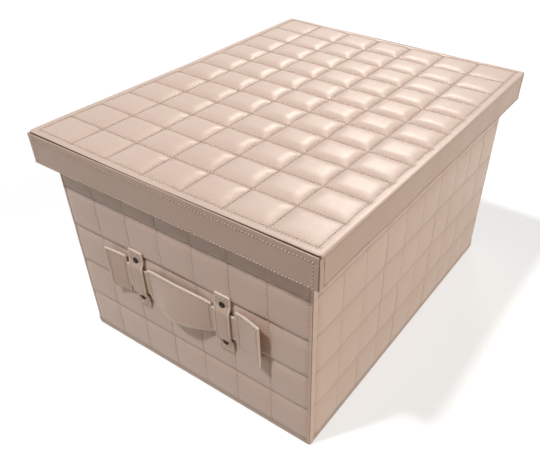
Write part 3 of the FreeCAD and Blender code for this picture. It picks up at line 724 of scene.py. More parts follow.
def mitred_cover(name, side, face, half, places, profile, wave=None):
    """A cover whose section is the same along a side and whose ends meet its neighbours.

    profile is a closed loop of (depth behind the face, height, padding), with a fourth
    value where painted shade is laid, in the gap beside the lid's top. Each end shows a dark
    raw edge, which also paints shade into the corner's joint. Near each end depth runs along
    the mitre, so that this cover and the next one meet all the way in.
    """
    points, across, heights, padding, outward, raw = [], [], [], [], [], []
    for place in places:
        to_end = max(0.0, half - abs(place))
        lean = max(0.0, 1 - to_end / MITRE_BLEND) * (1 if place > 0 else -1)
        direction = side.outward + side.across * lean
        roll = drawn_in(to_end, CORNER_ROLL)
        for depth, height, pad, *backing in profile:
            ripple = wave(place, height) if wave else 0.0
            behind = depth + (roll + ripple) * pad
            points.append(side.point(place, face, height) - direction * behind)
            across.append(place)
            heights.append(height)
            padding.append(pad)
            outward.append(direction)
            # 1 at the dark raw edge of each end, and where painted shade is laid in the gap.
            raw.append(1.0 if backing or to_end < RAW_END else 0.0)
    faces = loops_to_faces(len(places), len(profile))
    piece = new_piece(name, points, faces, {"across": across, "up": heights, "padding": padding,
                                            "outward": outward, "raw_edge": raw})
    outward_faces(piece)
    return piece


def wall_seams(side):
    """Where a wall's seams lie along it and up it."""
    quilting = bpy.context.scene.box_quilt
    half = side.reach(FACE_X, FACE_Y)[0]
    margin = quilting.side_margin if side.long else quilting.front_margin
    columns = quilting.side_columns if side.long else quilting.front_columns
    across = seam_places(margin - half, 2 * (half - margin) / columns, columns)
    pitch = (RIM - quilting.rim_margin - quilting.foot_margin) / quilting.wall_rows
    return across, seam_places(quilting.foot_margin, pitch, quilting.wall_rows)


def wall_profile(up_seams):
    """The wall cover's section: up the face, over the rim, down inside, and back."""
    rim_roll, lip_roll, foot_gap = 3.0 * MM, 0.7 * MM, 0.05 * MM
    foot_padding, padded_from = 0.3, 12 * MM
    lip = WALL_THICK - COVER_THICK - (BOARD_HIGH.y - BOARD_LOW.y)
    turn, foot = RIM - rim_roll, TRAY_HIGH.z + foot_gap
    face = [(0.0, height, min(1.0, foot_padding + (height - foot) / padded_from))
            for height in stops(foot, turn, up_seams)]
    over = [(rim_roll + across, turn + up, 1 - up / rim_roll)
            for across, up in arc((0, 0), rim_roll, 170, 90, 6)]
    inner = arc((WALL_THICK - lip_roll, RIM - lip_roll), lip_roll, 90, 0, 4)
    down = [(WALL_THICK, height) for height in np.linspace(turn, LIP_FOOT + lip_roll, 5)]
    back = [(WALL_THICK - lip_roll, LIP_FOOT), (WALL_THICK - lip, LIP_FOOT), (WALL_THICK - lip, BOARD_HIGH.z),
            (COVER_THICK, BOARD_HIGH.z), (COVER_THICK, foot)]
    return face + over + [(depth, height, 0.0) for depth, height in inner + down + back]


def make_walls(context):
    quilting = context.scene.box_quilt
    rolls = (quilting.side_roll, quilting.lower_roll, quilting.upper_roll)
    for which, side in enumerate(SIDES):
        half, face = side.reach(FACE_X, FACE_Y)
        across_seams, up_seams = wall_seams(side)
        piece = mitred_cover(side.name + "_wall", side, face, half, stops(-half, half, across_seams),
                             wall_profile(up_seams))
        share = quilting.side_share if side.long else quilting.upright_share
        quilt(piece, across_seams, up_seams, quilting.wall_rise, share, rolls, quilting.wall_crease,
              quilting.wall_gather, quilting.seed + which)
        hand_over(piece, "box", "quilted_faux_leather", side.name + "_cover")


# The lid's quilted top.

LID_EDGE = 1.2 * MM
LID_CORNER = 2.2 * MM
LID_GAP = 0.75 * MM  # between the lid's top and the skirt's bead
SKIRT_BEAD = 1.2 * MM
CORNER_PADDING = 0.25  # the least padding, as a share of the most
LID_HEM = 0.5 * MM
GAP_SHADE_BELOW = 0.5 * MM  # how far below the lid's top the painted shade of its gap beside the skirt starts


def lid_seams():
    """Where the lid's seams lie across it and along it."""
    quilting = bpy.context.scene.box_quilt
    wide, deep = LID_HIGH.x - quilting.lid_side_margin, LID_HIGH.y - quilting.lid_end_margin
    return (seam_places(-wide, 2 * wide / quilting.lid_columns, quilting.lid_columns),
            seam_places(-deep, 2 * deep / quilting.lid_rows, quilting.lid_rows))


def round_corner(x, y, wide, deep, radius):
    """Draw a point near a rectangle's square corner in, so that the corner is round."""
    over = Vector((abs(x) - (wide - radius), abs(y) - (deep - radius)))
    if over.x <= 0 or over.y <= 0:
        return x, y
    over = over * (max(over) / over.length)
    return math.copysign(wide - radius + over.x, x), math.copysign(deep - radius + over.y, y)


def grid_rim(width, height):
    """The outermost points of a grid, counted row by row, once round."""
    rim = list(range(width)) + [row * width + width - 1 for row in range(1, height)]
    rim += [(height - 1) * width + column for column in range(width - 2, -1, -1)]
    return rim + [row * width for row in range(height - 2, 0, -1)]


def make_lid_top(context):
    quilting = context.scene.box_quilt
    across_seams, up_seams = lid_seams()
    wide, deep = LID_HIGH.x - LID_EDGE, LID_HIGH.y - LID_EDGE - SKIRT_BEAD - LID_GAP
    columns, rows = stops(-wide, wide, across_seams), stops(-deep, deep, up_seams)
    top = [Vector((*round_corner(x, y, wide, deep, LID_CORNER), LID_HIGH.z)) for y in rows for x in columns]
    width, height = len(columns), len(rows)
    faces = [(row * width + column, row * width + column + 1, (row + 1) * width + column + 1,
              (row + 1) * width + column) for row in range(height - 1) for column in range(width - 1)]
    rim = grid_rim(width, height)
    # The leather is pulled tight towards the corners, where the padding is thinner.
    padding = [max(CORNER_PADDING, 1 - abs(point.x / wide * point.y / deep) ** 1.5) for point in top]
    points, raw = list(top), [0.0] * len(top)
    tall = LID_HIGH.z - LID_LOW.z
    section = [(across, up - LID_EDGE) for across, up in arc((0, 0), LID_EDGE, 75, 0, 5)]
    section += [(LID_EDGE, LID_HEM - tall), (LID_EDGE - 0.9 * LID_HEM, -tall)]
    before = rim
    for out, down in section:
        ring = []
        for index in rim:
            point = top[index]
            centre = Vector((max(min(point.x, wide - LID_CORNER), LID_CORNER - wide),
                             max(min(point.y, deep - LID_CORNER), LID_CORNER - deep), LID_HIGH.z))
            away = (point - centre).normalized()
            ring.append(len(points))
            points.append(point + away * out + UP * down)
            padding.append(padding[index] * max(0.0, 1 + down / tall))
            # Beside the skirt's open seam the gap gets painted shade.
            raw.append(1.0 if abs(away.y) > 0.7 and down < -GAP_SHADE_BELOW else 0.0)
        for step in range(len(rim)):
            after = (step + 1) % len(rim)
            faces.append((before[step], ring[step], ring[after], before[after]))
        before = ring
    faces.append(tuple(before))
    piece = new_piece("lid_top", points, faces,
                      {"across": [point.x for point in points], "up": [point.y for point in points],
                       "padding": padding, "outward": [UP] * len(points), "raw_edge": raw})
    outward_faces(piece)
    quilt(piece, across_seams, up_seams, quilting.lid_rise, 1.0, [quilting.lid_roll] * 3,
          quilting.lid_crease, quilting.lid_gather, quilting.seed)
    hand_over(piece, "lid", "quilted_faux_leather", "lid_cover")


# The lid's skirt.

def skirt_profile(open_seam):
    """The skirt's section: up the face, in at the top, and back down inside the lid.

    With an open seam, the upper edge stands up beside the lid's top as a thin bead.
    """
    stitch = bpy.context.scene.box_stitch
    fold, bead, row_room, edge_room = 2.0 * MM, SKIRT_BEAD / 2, 4 * MM, 1.5 * MM
    flap, below_lid, slack = 0.8 * MM, 1.6 * MM, 0.1 * MM
    top = LID_HIGH.z - below_lid if open_seam else LID_LOW.z
    rows = (SKIRT_FOOT + stitch.foot_gap, LID_LOW.z - stitch.edge_gap)
    face = [SKIRT_FOOT + fold, *np.linspace(rows[0] + row_room, rows[1] - row_room, 9), top - edge_room]
    for row in rows:
        face += [row + shift for shift in ROW_STEPS]
    outer = [(pressed(min(abs(height - row) for row in rows)), height, 1.0)
             for height in sorted(face) if height >= SKIRT_FOOT + fold]
    if open_seam:
        outer += [(bead + across, top - bead + up, 1.0) for across, up in arc((0, 0), bead, 170, 10, 7)]
        # The bead's inner side, in the gap beside the lid's top, gets painted shade.
        outer += [(SKIRT_BEAD, top - 1.2 * bead, 1.0, 1.0), (SKIRT_BEAD, LID_LOW.z, 1.0, 1.0)]
    else:
        outer += [(0.0, top, 1.0)]
    inner = [(SKIRT_SKIN + slack, LID_LOW.z), (SKIRT_SKIN, SKIRT_FOOT + SKIRT_SKIN),
             (SKIRT_THICK - flap, SKIRT_FOOT + SKIRT_SKIN), (SKIRT_THICK - flap, INNER_TOP),
             (SKIRT_THICK, INNER_TOP), (SKIRT_THICK, SKIRT_FOOT + fold)]
    under = arc((SKIRT_THICK - fold, SKIRT_FOOT + fold), fold, 0, -90, 5)
    under += arc((fold, SKIRT_FOOT + fold), fold, 270, 190, 6)
    # The floor of that gap gets painted shade too.
    shown = (1.0,) if open_seam else ()
    return outer + [(*inner[0], 0.0, *shown)] + [(depth, height, 0.0) for depth, height in inner[1:] + under]


SKIRT_STEPS = 61
RIPPLE_LENGTHS = (110 * MM, 47 * MM, 23 * MM)
RIPPLE_HEIGHT = 2 * MM  # for each metre of a ripple's length
RIPPLE_FADE = 8 * MM  # how far below the lid's top the ripples are full
RIPPLE_DRIFT = 14 * MM  # how slowly they change up the skirt


def skirt_wave(seed):
    """Slight unevenness of leather glued to board, in metres."""
    shifts = np.random.default_rng(seed).uniform(0, 2 * math.pi, 4)

    def wave(place, height):
        level = sum(math.sin(2 * math.pi * place / length + shift) * length
                    for length, shift in zip(RIPPLE_LENGTHS, shifts))
        below_top = min(1.0, max(0.0, (LID_LOW.z - height) / RIPPLE_FADE))
        return RIPPLE_HEIGHT * level * below_top * (1 + 0.5 * math.sin(height / RIPPLE_DRIFT + shifts[3]))
    return wave


def make_skirt(context):
    for which, side in enumerate(SIDES):
        half, face = side.reach(LID_HIGH.x, LID_HIGH.y)
        places = np.concatenate([np.linspace(-half, half, SKIRT_STEPS),
                                 half - CORNER_STEPS, CORNER_STEPS - half])
        piece = mitred_cover(side.name + "_skirt", side, face, half, np.unique(np.round(places, 6)),
                             skirt_profile(not side.long), skirt_wave(which))
        piece.data.materials.append(material("plain"))
        hand_over(piece, "lid", "plain_faux_leather", "skirt_%s_cover" % side.name)


# The base: a shallow tray of leather under the walls.

SHARPEST_TURN = 0.2 * MM


def rounded_ring(wide, deep, radius, inset, height):
    """Points around a rectangle with round corners, drawn in by an inset."""
    turn = max(radius - inset, SHARPEST_TURN)
    ring = []
    for x_sign, y_sign, start in ((1, 1, 0), (-1, 1, 90), (-1, -1, 180), (1, -1, 270)):
        centre = (x_sign * (wide - inset - turn), y_sign * (deep - inset - turn))
        ring += [Vector((across, up, height)) for across, up in arc(centre, turn, start, start + 90, 6)]
    return ring


def make_base(context):
    wide, deep, top = TRAY_HIGH
    corner, fold, skin, edge = 2 * MM, 0.9 * MM, TRAY_SKIN, 0.5 * MM
    section = [(fold - across, fold + up) for across, up in arc((0, 0), fold, -90, 0, 5)]
    section += [(0.0, top - edge), (0.4 * edge, top - 0.2 * edge), (edge, top), (skin, top), (skin, skin)]
    points = [point for inset, height in section for point in rounded_ring(wide, deep, corner, inset, height)]
    piece = new_piece("base_tray", points, loops_to_faces(len(section), len(points) // len(section)),
                      material=material("plain"))
    outward_faces(piece)
    hand_over(piece, "box", "plain_faux_leather", "base_cover")


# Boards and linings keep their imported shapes.

def make_inside(context):
    boards = ["base_board", "lid_board"] + [side.name + "_board" for side in SIDES]
    boards += ["skirt_%s_board" % side.name for side in SIDES]
    cloths = ["floor_board", "lid_lining"] + [side.name + "_lining" for side in SIDES]
    for names, kind in ((boards, "board"), (cloths, "cloth")):
        for name in names:
            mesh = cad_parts[name].data
            mesh.materials.clear()
            mesh.materials.append(material(kind))


# The handles.

HANDLES = [SIDES[0], SIDES[2]]
HANDLE_LEVEL = (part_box("front_keeper_left")[0].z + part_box("front_keeper_left")[1].z) / 2
SLICE = 1.0 * MM  # the step along a strap or a keeper
END_STEPS = np.array([0, 0.12, 0.35]) * MM
PAINTED_END = 0.6 * MM  # how near its end a band is painted
BOW_SHAPE = 1.6  # how flat the bow starts at the keepers, where 1 is a plain arch
CURL_SHAPE = 1.5  # how late a tab curls, where 1 is a straight slope
NUDGE = 0.1 * MM  # how far to each side a slope is taken


def eased(share):
    """A share held between 0 and 1, which leaves and reaches both softly."""
    share = min(max(share, 0.0), 1.0)
    return share * share * (3 - 2 * share)


def tab_shape(place):
    """How far the tab at this end of the strap curls, and its length."""
    settings = bpy.context.scene.box_strap
    if place > 0:
        return settings.right_lift, settings.right_tab
    return settings.left_lift, settings.left_tab


def bow_at(place, share):
    """How far the strap stands out from its flat part, at a share of its height below its upper edge."""
    settings = bpy.context.scene.box_strap
    along = abs(place)
    if along < settings.grip_half:
        bow = settings.upper_bow + (settings.lower_bow - settings.upper_bow) * share
        return bow * (1 - (along / settings.grip_half) ** 2) ** BOW_SHAPE
    lift, length = tab_shape(place)
    return lift * (max(0.0, along - settings.tab_shoulder) / length) ** CURL_SHAPE


def strap_edges(place):
    """The strap's upper and lower edges at a place along it, from the handle's middle."""
    settings = bpy.context.scene.box_strap
    along = abs(place)

    def step(edge, before, after):
        return before + (after - before) * eased((along - edge) / settings.shoulder_round + 0.5)

    if along < (settings.grip_half + settings.tab_shoulder) / 2:
        curve = max(0.0, 1 - (along / settings.grip_half) ** 2)
        upper, lower = (step(settings.grip_half, settings.grip_height / 2 + rise * curve,
                             settings.neck_height / 2) for rise in (settings.arch, settings.belly))
    else:
        along_tab = max(0.0, along - settings.tab_shoulder) / tab_shape(place)[1]
        tab = settings.tab_root + (settings.tab_end - settings.tab_root) * along_tab
        upper = lower = step(settings.tab_shoulder, settings.neck_height / 2, tab / 2)
    return upper, -lower


def banded_section(half_thick, low, high, gap, rounding):
    """A flat band's section as (out, up, cut edge), with a pressed row along each edge."""
    lines = gap + ROW_STEPS
    middle = (low + high) / 2
    section = []
    for out, start, end, turn in ((half_thick, low, high, -90), (-half_thick, high, low, 90)):
        sign = 1 if end > start else -1
        inner = out - math.copysign(rounding, out)
        section += [(inner + across, start + sign * rounding + up, 1.0)
                    for across, up in arc((0, 0), rounding, turn, turn + 90, 4)]
        for height in (*(start + sign * lines), middle, *(end - sign * lines[::-1])):
            deep = pressed(min(abs(height - low - gap), abs(high - height - gap)))
            section.append((out - math.copysign(deep, out), height, 0.0))
        section += [(inner + across, end - sign * rounding + up, 1.0)
                    for across, up in arc((0, 0), rounding, turn + 90, turn + 180, 4)]
    return section


def make_band(name, body, node, thickness, gap, slices):
    """A flat leather band with painted edges, which rides on its body.

    Each slice is the distance to the band's nearer end, its lower and upper edge, and a
    function that gives the point at a distance out of the band's middle layer and up it.
    """
    rounding = bpy.context.scene.box_strap.edge_round
    points, cut = [], []
    for to_end, low, high, point_at in slices:
        shrink = drawn_in(to_end, rounding)
        section = banded_section(thickness / 2 - shrink, low + shrink, high - shrink, gap,
                                 rounding - 0.5 * shrink)
        at_end = 1.0 if to_end < PAINTED_END else 0.0
        points += [point_at(out, up) for out, up, _ in section]
        cut += [max(edge, at_end) for _, _, edge in section]
    piece = new_piece(name, points, loops_to_faces(len(slices), len(section)), {"cut_edge": cut},
                      material("strap"))
    outward_faces(piece)
    hand_over(piece, body, "strap_leather", node)


def strap_point(side, place, height, out=0.0):
    """A point of the strap, out from its middle layer, and the outward direction there."""
    settings = bpy.context.scene.box_strap
    upper, lower = strap_edges(place)
    share = min(max((upper - height) / (upper - lower), 0.0), 1.0)
    before, after = bow_at(place - NUDGE, share), bow_at(place + NUDGE, share)
    rise = (bow_at(place, 1.0) - bow_at(place, 0.0)) / (upper - lower)
    direction = (side.outward - side.across * ((after - before) / (2 * NUDGE)) + UP * rise).normalized()
    middle = FACE_Y + settings.wall_gap + settings.thickness / 2 + (before + after) / 2
    return side.point(place, middle, HANDLE_LEVEL + height) + direction * out, direction


def make_straps(context):
    settings = context.scene.box_strap
    start, end = -settings.tab_shoulder - settings.left_tab, settings.tab_shoulder + settings.right_tab
    shoulders = [sign * (edge + shift) for sign in (1, -1)
                 for edge in (settings.grip_half, settings.tab_shoulder)
                 for shift in np.linspace(-1, 1, 7) * MM]
    places = np.concatenate([np.arange(start + SLICE, end - SLICE / 2, SLICE), shoulders,
                             start + END_STEPS, end - END_STEPS])
    for side in HANDLES:
        slices = []
        for place in np.unique(np.round(places, 5)):
            upper, lower = strap_edges(place)
            slices.append((min(place - start, end - place), lower, upper,
                           lambda out, up, side=side, place=place: strap_point(side, place, up, out)[0]))
        make_band(side.name + "_strap_leather", side.name + "_handle", side.name + "_strap",
                  settings.thickness, context.scene.box_stitch.edge_gap, slices)


def keeper_size(node):
    """Half a keeper's width, half its height, and its middle."""
    low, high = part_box(node)
    return (high.x - low.x) / 2, (high.z - low.z) / 2, (low + high) / 2


def keeper_path(side, node):
    """Up a keeper: the distance to its nearer end, its middle point and its outward direction."""
    settings = bpy.context.scene.box_strap
    _, half_length, middle = keeper_size(node)
    places = np.concatenate([np.arange(SLICE - half_length, half_length - SLICE / 2, SLICE),
                             half_length - END_STEPS, END_STEPS - half_length])

    def out(place):
        to_foot = settings.keeper_flat + settings.keeper_ramp - abs(place)
        return settings.keeper_room * eased(to_foot / settings.keeper_ramp)

    for place in np.unique(np.round(places, 5)):
        slope = (out(place + NUDGE) - out(place - NUDGE)) / (2 * NUDGE)
        centre = Vector((middle.x, 0, middle.z + place))
        centre += side.outward * (FACE_Y + out(place) + settings.keeper_thickness / 2)
        yield half_length - abs(place), centre, (side.outward - UP * slope).normalized()


def make_keepers(context):
    settings = context.scene.box_strap
    for side in HANDLES:
        for hand in ("left", "right"):
            node = "%s_keeper_%s" % (side.name, hand)
            half_width = keeper_size(node)[0]
            slices = [(to_end, -half_width, half_width,
                       lambda out, over, side=side, centre=centre, direction=direction:
                       centre + direction * out + side.across * over)
                      for to_end, centre, direction in keeper_path(side, node)]
            make_band(node + "_leather", "box", node, settings.keeper_thickness, settings.keeper_gap, slices)


def rivet_tree():
    """Sets a domed rivet with its shank, or a flat cap, on each point, facing outwards."""
    round_sides, shank_sides, rings, collar_height = 28, 16, 16, 0.4 * MM
    tree, given = new_tree("rivets", [("Radius", "Float"), ("Dome", "Float"), ("Shank Radius", "Float"),
                                      ("Shank Length", "Float"), ("Metal", "Material")])
    ball = add(tree, "GeometryNodeMeshUVSphere", {"Segments": round_sides, "Rings": rings, "Radius": 1.0})
    scale = add(tree, "ShaderNodeCombineXYZ", {0: given["Radius"], 1: given["Radius"], 2: given["Dome"]})
    dome = add(tree, "GeometryNodeTransform", {"Geometry": ball, "Scale": scale})
    collar = add(tree, "GeometryNodeMeshCylinder", {"Vertices": round_sides, "Radius": given["Radius"],
                                                    "Depth": collar_height})
    shank = add(tree, "GeometryNodeMeshCylinder", {"Vertices": shank_sides, "Radius": given["Shank Radius"],
                                                   "Depth": given["Shank Length"]})
    half = add(tree, "ShaderNodeMath", {0: given["Shank Length"], 1: -0.5}, operation="MULTIPLY")
    sunk = add(tree, "ShaderNodeCombineXYZ", {2: half})
    inside = add(tree, "GeometryNodeTransform", {"Geometry": shank, "Translation": sunk})
    whole = add(tree, "GeometryNodeJoinGeometry")
    for part in (dome, collar, inside):
        tree.links.new(part.outputs[0], whole.inputs[0])
    facing = add(tree, "GeometryNodeInputNamedAttribute", {"Name": "outward"}, data_type="FLOAT_VECTOR")
    turn = add(tree, "FunctionNodeAlignRotationToVector", {"Vector": facing}, axis="Z")
    placed = add(tree, "GeometryNodeInstanceOnPoints",
                 {"Points": given["Geometry"], "Instance": whole, "Rotation": turn})
    real = add(tree, "GeometryNodeRealizeInstances", {0: placed})
    done = add(tree, "GeometryNodeSetMaterial", {"Geometry": real, "Material": given["Metal"]})
    add(tree, "NodeGroupOutput", {0: done})
    return tree


def rivet_points(side):
    """Where a handle's four rivets pass through the wall's face."""
    low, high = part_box(side.name + "_rivets")
    head = 3.2 * MM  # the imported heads' radius
    return [Vector((across, 0, level)) for across in (low.x + head, high.x - head)
            for level in (low.z + head, high.z - head)]


def make_rivets(context):
    tree = rivet_tree()
    head, dome, shank = 3.3 * MM, 1.5 * MM, 1.8 * MM
    leather_thick, cap_radius, cap_dome, seat, peg = 2.2 * MM, 4.5 * MM, 1.7 * MM, 1.0 * MM, 0.2 * MM
    for side in HANDLES:
        outside = side.outward * (FACE_Y + leather_thick)
        inside = side.outward * (FACE_Y - WALL_THICK)
        for name, at, facing, radius, height, length in (
                ("rivets", outside, side.outward, head, dome, leather_thick + WALL_THICK + seat),
                ("rivet_backs", inside, -side.outward, cap_radius, cap_dome, peg)):
            points = [point + at for point in rivet_points(side)]
            piece = new_piece("%s_%s_brass" % (side.name, name), points, [], {"outward": [facing] * 4})
            apply_tree(piece, tree, {"Radius": radius, "Dome": height, "Shank Radius": shank,
                                     "Shank Length": length, "Metal": material("brass")})
            piece.data.shade_smooth()
            hand_over(piece, "box", "rivet_brass", "%s_%s" % (side.name, name))


# Stitches, set along rows by a geometry tree and dropped on to the leather.

ABOVE = 8 * MM  # rows are laid this far outside the leather
DROP = 30 * MM  # and may fall this far on to it
SHORTEST, LONGEST = 0.88, 1.1  # a stitch's size, by chance


def stitch_tree():
    """Sets a stitch at every pitch along the rows, and between stitches a dark needle hole that is painted
    shade.
    """
    tree, given = new_tree("stitches", [("Surface", "Object"), ("Pitch", "Float"), ("Length", "Float"),
                                        ("Thread", "Float"), ("Hole", "Float"), ("Seed", "Int"),
                                        ("Thread Material", "Material"), ("Hole Material", "Material")])
    surface = add(tree, "GeometryNodeObjectInfo", {"Object": given["Surface"]}).outputs["Geometry"]
    rows = add(tree, "GeometryNodeMeshToCurve", {0: given["Geometry"]})
    points = add(tree, "GeometryNodeCurveToPoints", {"Curve": rows, "Length": given["Pitch"]}, mode="LENGTH")
    inward = add(tree, "GeometryNodeInputNamedAttribute", {"Name": "inward"}, data_type="FLOAT_VECTOR")
    ray = add(tree, "GeometryNodeRaycast", {"Target Geometry": surface, "Ray Direction": inward,
                                            "Ray Length": DROP})
    kept, stored = points, {}
    for name, kind, source in (("place", "FLOAT_VECTOR", ray.outputs["Hit Position"]),
                               ("facing", "FLOAT_VECTOR", ray.outputs["Hit Normal"]),
                               ("along", "FLOAT_VECTOR", points.outputs["Tangent"]),
                               ("found", "BOOLEAN", ray.outputs["Is Hit"])):
        kept = add(tree, "GeometryNodeStoreNamedAttribute", {"Geometry": kept, "Name": name, "Value": source},
                   data_type=kind, domain="POINT")
        stored[name] = add(tree, "GeometryNodeInputNamedAttribute", {"Name": name}, data_type=kind)
    missed = add(tree, "FunctionNodeBooleanMath", {0: stored["found"]}, operation="NOT")
    kept = add(tree, "GeometryNodeDeleteGeometry", {"Geometry": kept, "Selection": missed}, domain="POINT")
    down = add(tree, "GeometryNodeSetPosition", {"Geometry": kept, "Position": stored["place"]})
    turn = add(tree, "FunctionNodeAxesToRotation",
               {"Primary Axis": stored["facing"], "Secondary Axis": stored["along"]},
               primary_axis="Z", secondary_axis="X")
    vary = add(tree, "FunctionNodeRandomValue", {2: SHORTEST, 3: LONGEST, "Seed": given["Seed"]},
               data_type="FLOAT")
    half_step = add(tree, "ShaderNodeMath", {0: given["Pitch"], 1: 0.5}, operation="MULTIPLY")
    shift = add(tree, "ShaderNodeVectorMath", {0: stored["along"], "Scale": half_step}, operation="SCALE")
    between = add(tree, "GeometryNodeSetPosition", {"Geometry": down, "Offset": shift})
    both = add(tree, "GeometryNodeJoinGeometry")
    for at, sides, rings, long, wide, tall, kind in (
            (down, 6, 5, "Length", "Thread", 0.8, "Thread Material"),
            (between, 6, 3, "Hole", "Hole", 0.2, "Hole Material")):
        ball = add(tree, "GeometryNodeMeshUVSphere", {"Segments": sides, "Rings": rings, "Radius": 1.0})
        lie = add(tree, "GeometryNodeTransform", {"Geometry": ball, "Rotation": (0.0, math.radians(90), 0.0)})
        halves = [add(tree, "ShaderNodeMath", {0: given[name], 1: share}, operation="MULTIPLY")
                  for name, share in ((long, 0.5), (wide, 0.5), (wide, tall))]
        scale = add(tree, "ShaderNodeCombineXYZ", dict(enumerate(halves)))
        grain = add(tree, "GeometryNodeTransform", {"Geometry": lie, "Scale": scale})
        placed = add(tree, "GeometryNodeInstanceOnPoints", {"Points": at, "Instance": grain, "Rotation": turn,
                                                            "Scale": vary.outputs[1]})
        real = add(tree, "GeometryNodeRealizeInstances", {0: placed})
        done = add(tree, "GeometryNodeSetMaterial", {"Geometry": real, "Material": given[kind]})
        tree.links.new(done.outputs[0], both.inputs[0])
    add(tree, "NodeGroupOutput", {0: both})
    return tree


def sew(name, rows, surface, body, slot, seed, share=1.0):
    """Stitch rows on to a surface. Each row is a list of (point above the leather, direction in)."""
    stitch = bpy.context.scene.box_stitch
    tree = bpy.data.node_groups.get("stitches") or stitch_tree()
    points, inward, edges = [], [], []
    for row in rows:
        for step, (point, direction) in enumerate(row):
            if step:
                edges.append((len(points) - 1, len(points)))
            points.append(point)
            inward.append(direction)
    piece = new_piece(name, points, [], {"inward": inward}, edges=edges)
    apply_tree(piece, tree, {"Surface": bpy.data.objects[surface], "Pitch": stitch.pitch,
                             "Length": stitch.length * share, "Thread": stitch.thread * share,
                             "Hole": stitch.hole * share, "Seed": seed,
                             "Thread Material": material("thread"), "Hole Material": material("hole")})
    for label in ("place", "facing", "along", "found", "inward"):
        if label in piece.data.attributes:
            piece.data.attributes.remove(piece.data.attributes[label])
    piece.data.shade_smooth()
    hand_over(piece, body, slot)


def sew_walls():
    stitch = bpy.context.scene.box_stitch
    for which, side in enumerate(SIDES):
        out = side.reach(FACE_X, FACE_Y)[1] + ABOVE
        across_seams, up_seams = wall_seams(side)
        # The stitches of the level seams lie hidden in their creases.
        rows = [[(side.point(place, out, height), -side.outward) for height in (up_seams[0], up_seams[-1])]
                for place in across_seams]
        sew(side.name + "_wall_stitches", rows, side.name + "_wall", "box", "quilted_faux_leather", which,
            stitch.side_share if side.long else stitch.wall_share)


LID_SEED, SKIRT_SEED, STRAP_SEED, KEEPER_SEED = 11, 20, 30, 40


def sew_lid():
    gap, foot_gap = bpy.context.scene.box_stitch.edge_gap, bpy.context.scene.box_stitch.foot_gap
    across_seams, up_seams = lid_seams()
    lines = [[(x, up_seams[0]), (x, up_seams[-1])] for x in across_seams]
    lines += [[(across_seams[0], y), (across_seams[-1], y)] for y in up_seams]
    rows = [[(Vector((x, y, LID_HIGH.z + ABOVE)), -UP) for x, y in line] for line in lines]
    sew("lid_top_stitches", rows, "lid_top", "lid", "quilted_faux_leather", LID_SEED)
    low, high = SKIRT_FOOT + foot_gap, LID_LOW.z - gap
    for which, side in enumerate(SIDES):
        half, face = side.reach(LID_HIGH.x, LID_HIGH.y)
        end = half - 1.8 * gap
        lines = [[(-end, low), (end, low)], [(-end, low), (-end, high)], [(end, low), (end, high)]]
        if not side.long:
            lines.append([(-end, high), (end, high)])
        rows = [[(side.point(place, face + ABOVE, height), -side.outward) for place, height in line]
                for line in lines]
        sew(side.name + "_skirt_stitches", rows, side.name + "_skirt", "lid", "plain_faux_leather",
            SKIRT_SEED + which)


def sew_handles():
    settings, gap = bpy.context.scene.box_strap, bpy.context.scene.box_stitch.edge_gap
    grip, tab = settings.grip_half - gap, settings.tab_shoulder + gap
    left_end, right_end = (settings.tab_shoulder + length - gap
                           for length in (settings.left_tab, settings.right_tab))
    steps_along, steps_up = 31, 5
    for which, side in enumerate(HANDLES):
        lines = []
        for start, end in ((-grip, grip), (-left_end, -tab), (tab, right_end)):
            places = np.linspace(start, end, steps_along)
            lines.append([(place, strap_edges(place)[0] - gap) for place in places])
            lines.append([(place, strap_edges(place)[1] + gap) for place in places])
        for place in (-grip, grip, -tab, tab, -left_end, right_end):
            upper, lower = strap_edges(place)
            lines.append([(place, height) for height in np.linspace(lower + gap, upper - gap, steps_up)])
        rows = []
        for line in lines:
            row = [strap_point(side, place, height) for place, height in line]
            rows.append([(point + direction * ABOVE, -direction) for point, direction in row])
        sew(side.name + "_strap_stitches", rows, side.name + "_strap_leather", side.name + "_handle",
            "strap_leather", STRAP_SEED + which)
        for hand in ("left", "right"):
            node = "%s_keeper_%s" % (side.name, hand)
            to_row = keeper_size(node)[0] - settings.keeper_gap
            rows = [[(centre + side.across * over + direction * ABOVE, -direction)
                     for to_end, centre, direction in keeper_path(side, node) if to_end > settings.keeper_gap]
                    for over in (-to_row, to_row)]
            ends = [[row[step] for row in rows] for step in (0, -1)]
            sew(node + "_stitches", rows + ends, node + "_leather", "box", "strap_leather",
                KEEPER_SEED + which)


def make_stitches(context):
    sew_walls()
    sew_lid()
    sew_handles()


# The stage.

PICTURE = (540, 462)
SENSOR = 36.0


def camera_axes(azimuth, elevation, roll):
    """Right, up and back for a camera that looks along +Y at azimuth 0 and down by its elevation."""
    ahead = Vector((-math.sin(azimuth) * math.cos(elevation), math.cos(azimuth) * math.cos(elevation),
                    -math.sin(elevation)))
    right = ahead.cross(UP).normalized()
    down = ahead.cross(right)
    across = right * math.cos(roll) + down * math.sin(roll)
    below = down * math.cos(roll) - right * math.sin(roll)
    return Matrix((across, -below, -ahead)).transposed()


def aim(light, towards, place=(0, 0, 0)):
    """Put a lamp in the scene so that it shines from the direction given."""
    holder = bpy.data.objects.new(light.name, light)
    holder.location = place
    holder.rotation_euler = Vector(towards).to_track_quat("Z", "Y").to_euler()
    bpy.context.scene.collection.objects.link(holder)


def far_lamp(name, towards, width, strength, tint):
    """A far lamp as wide as the given angle; a strength of 1 shows colours as they are."""
    light = bpy.data.lights.new(name, "SUN")
    light.angle, light.energy, light.color = math.radians(width), strength * math.pi, tint
    aim(light, towards)


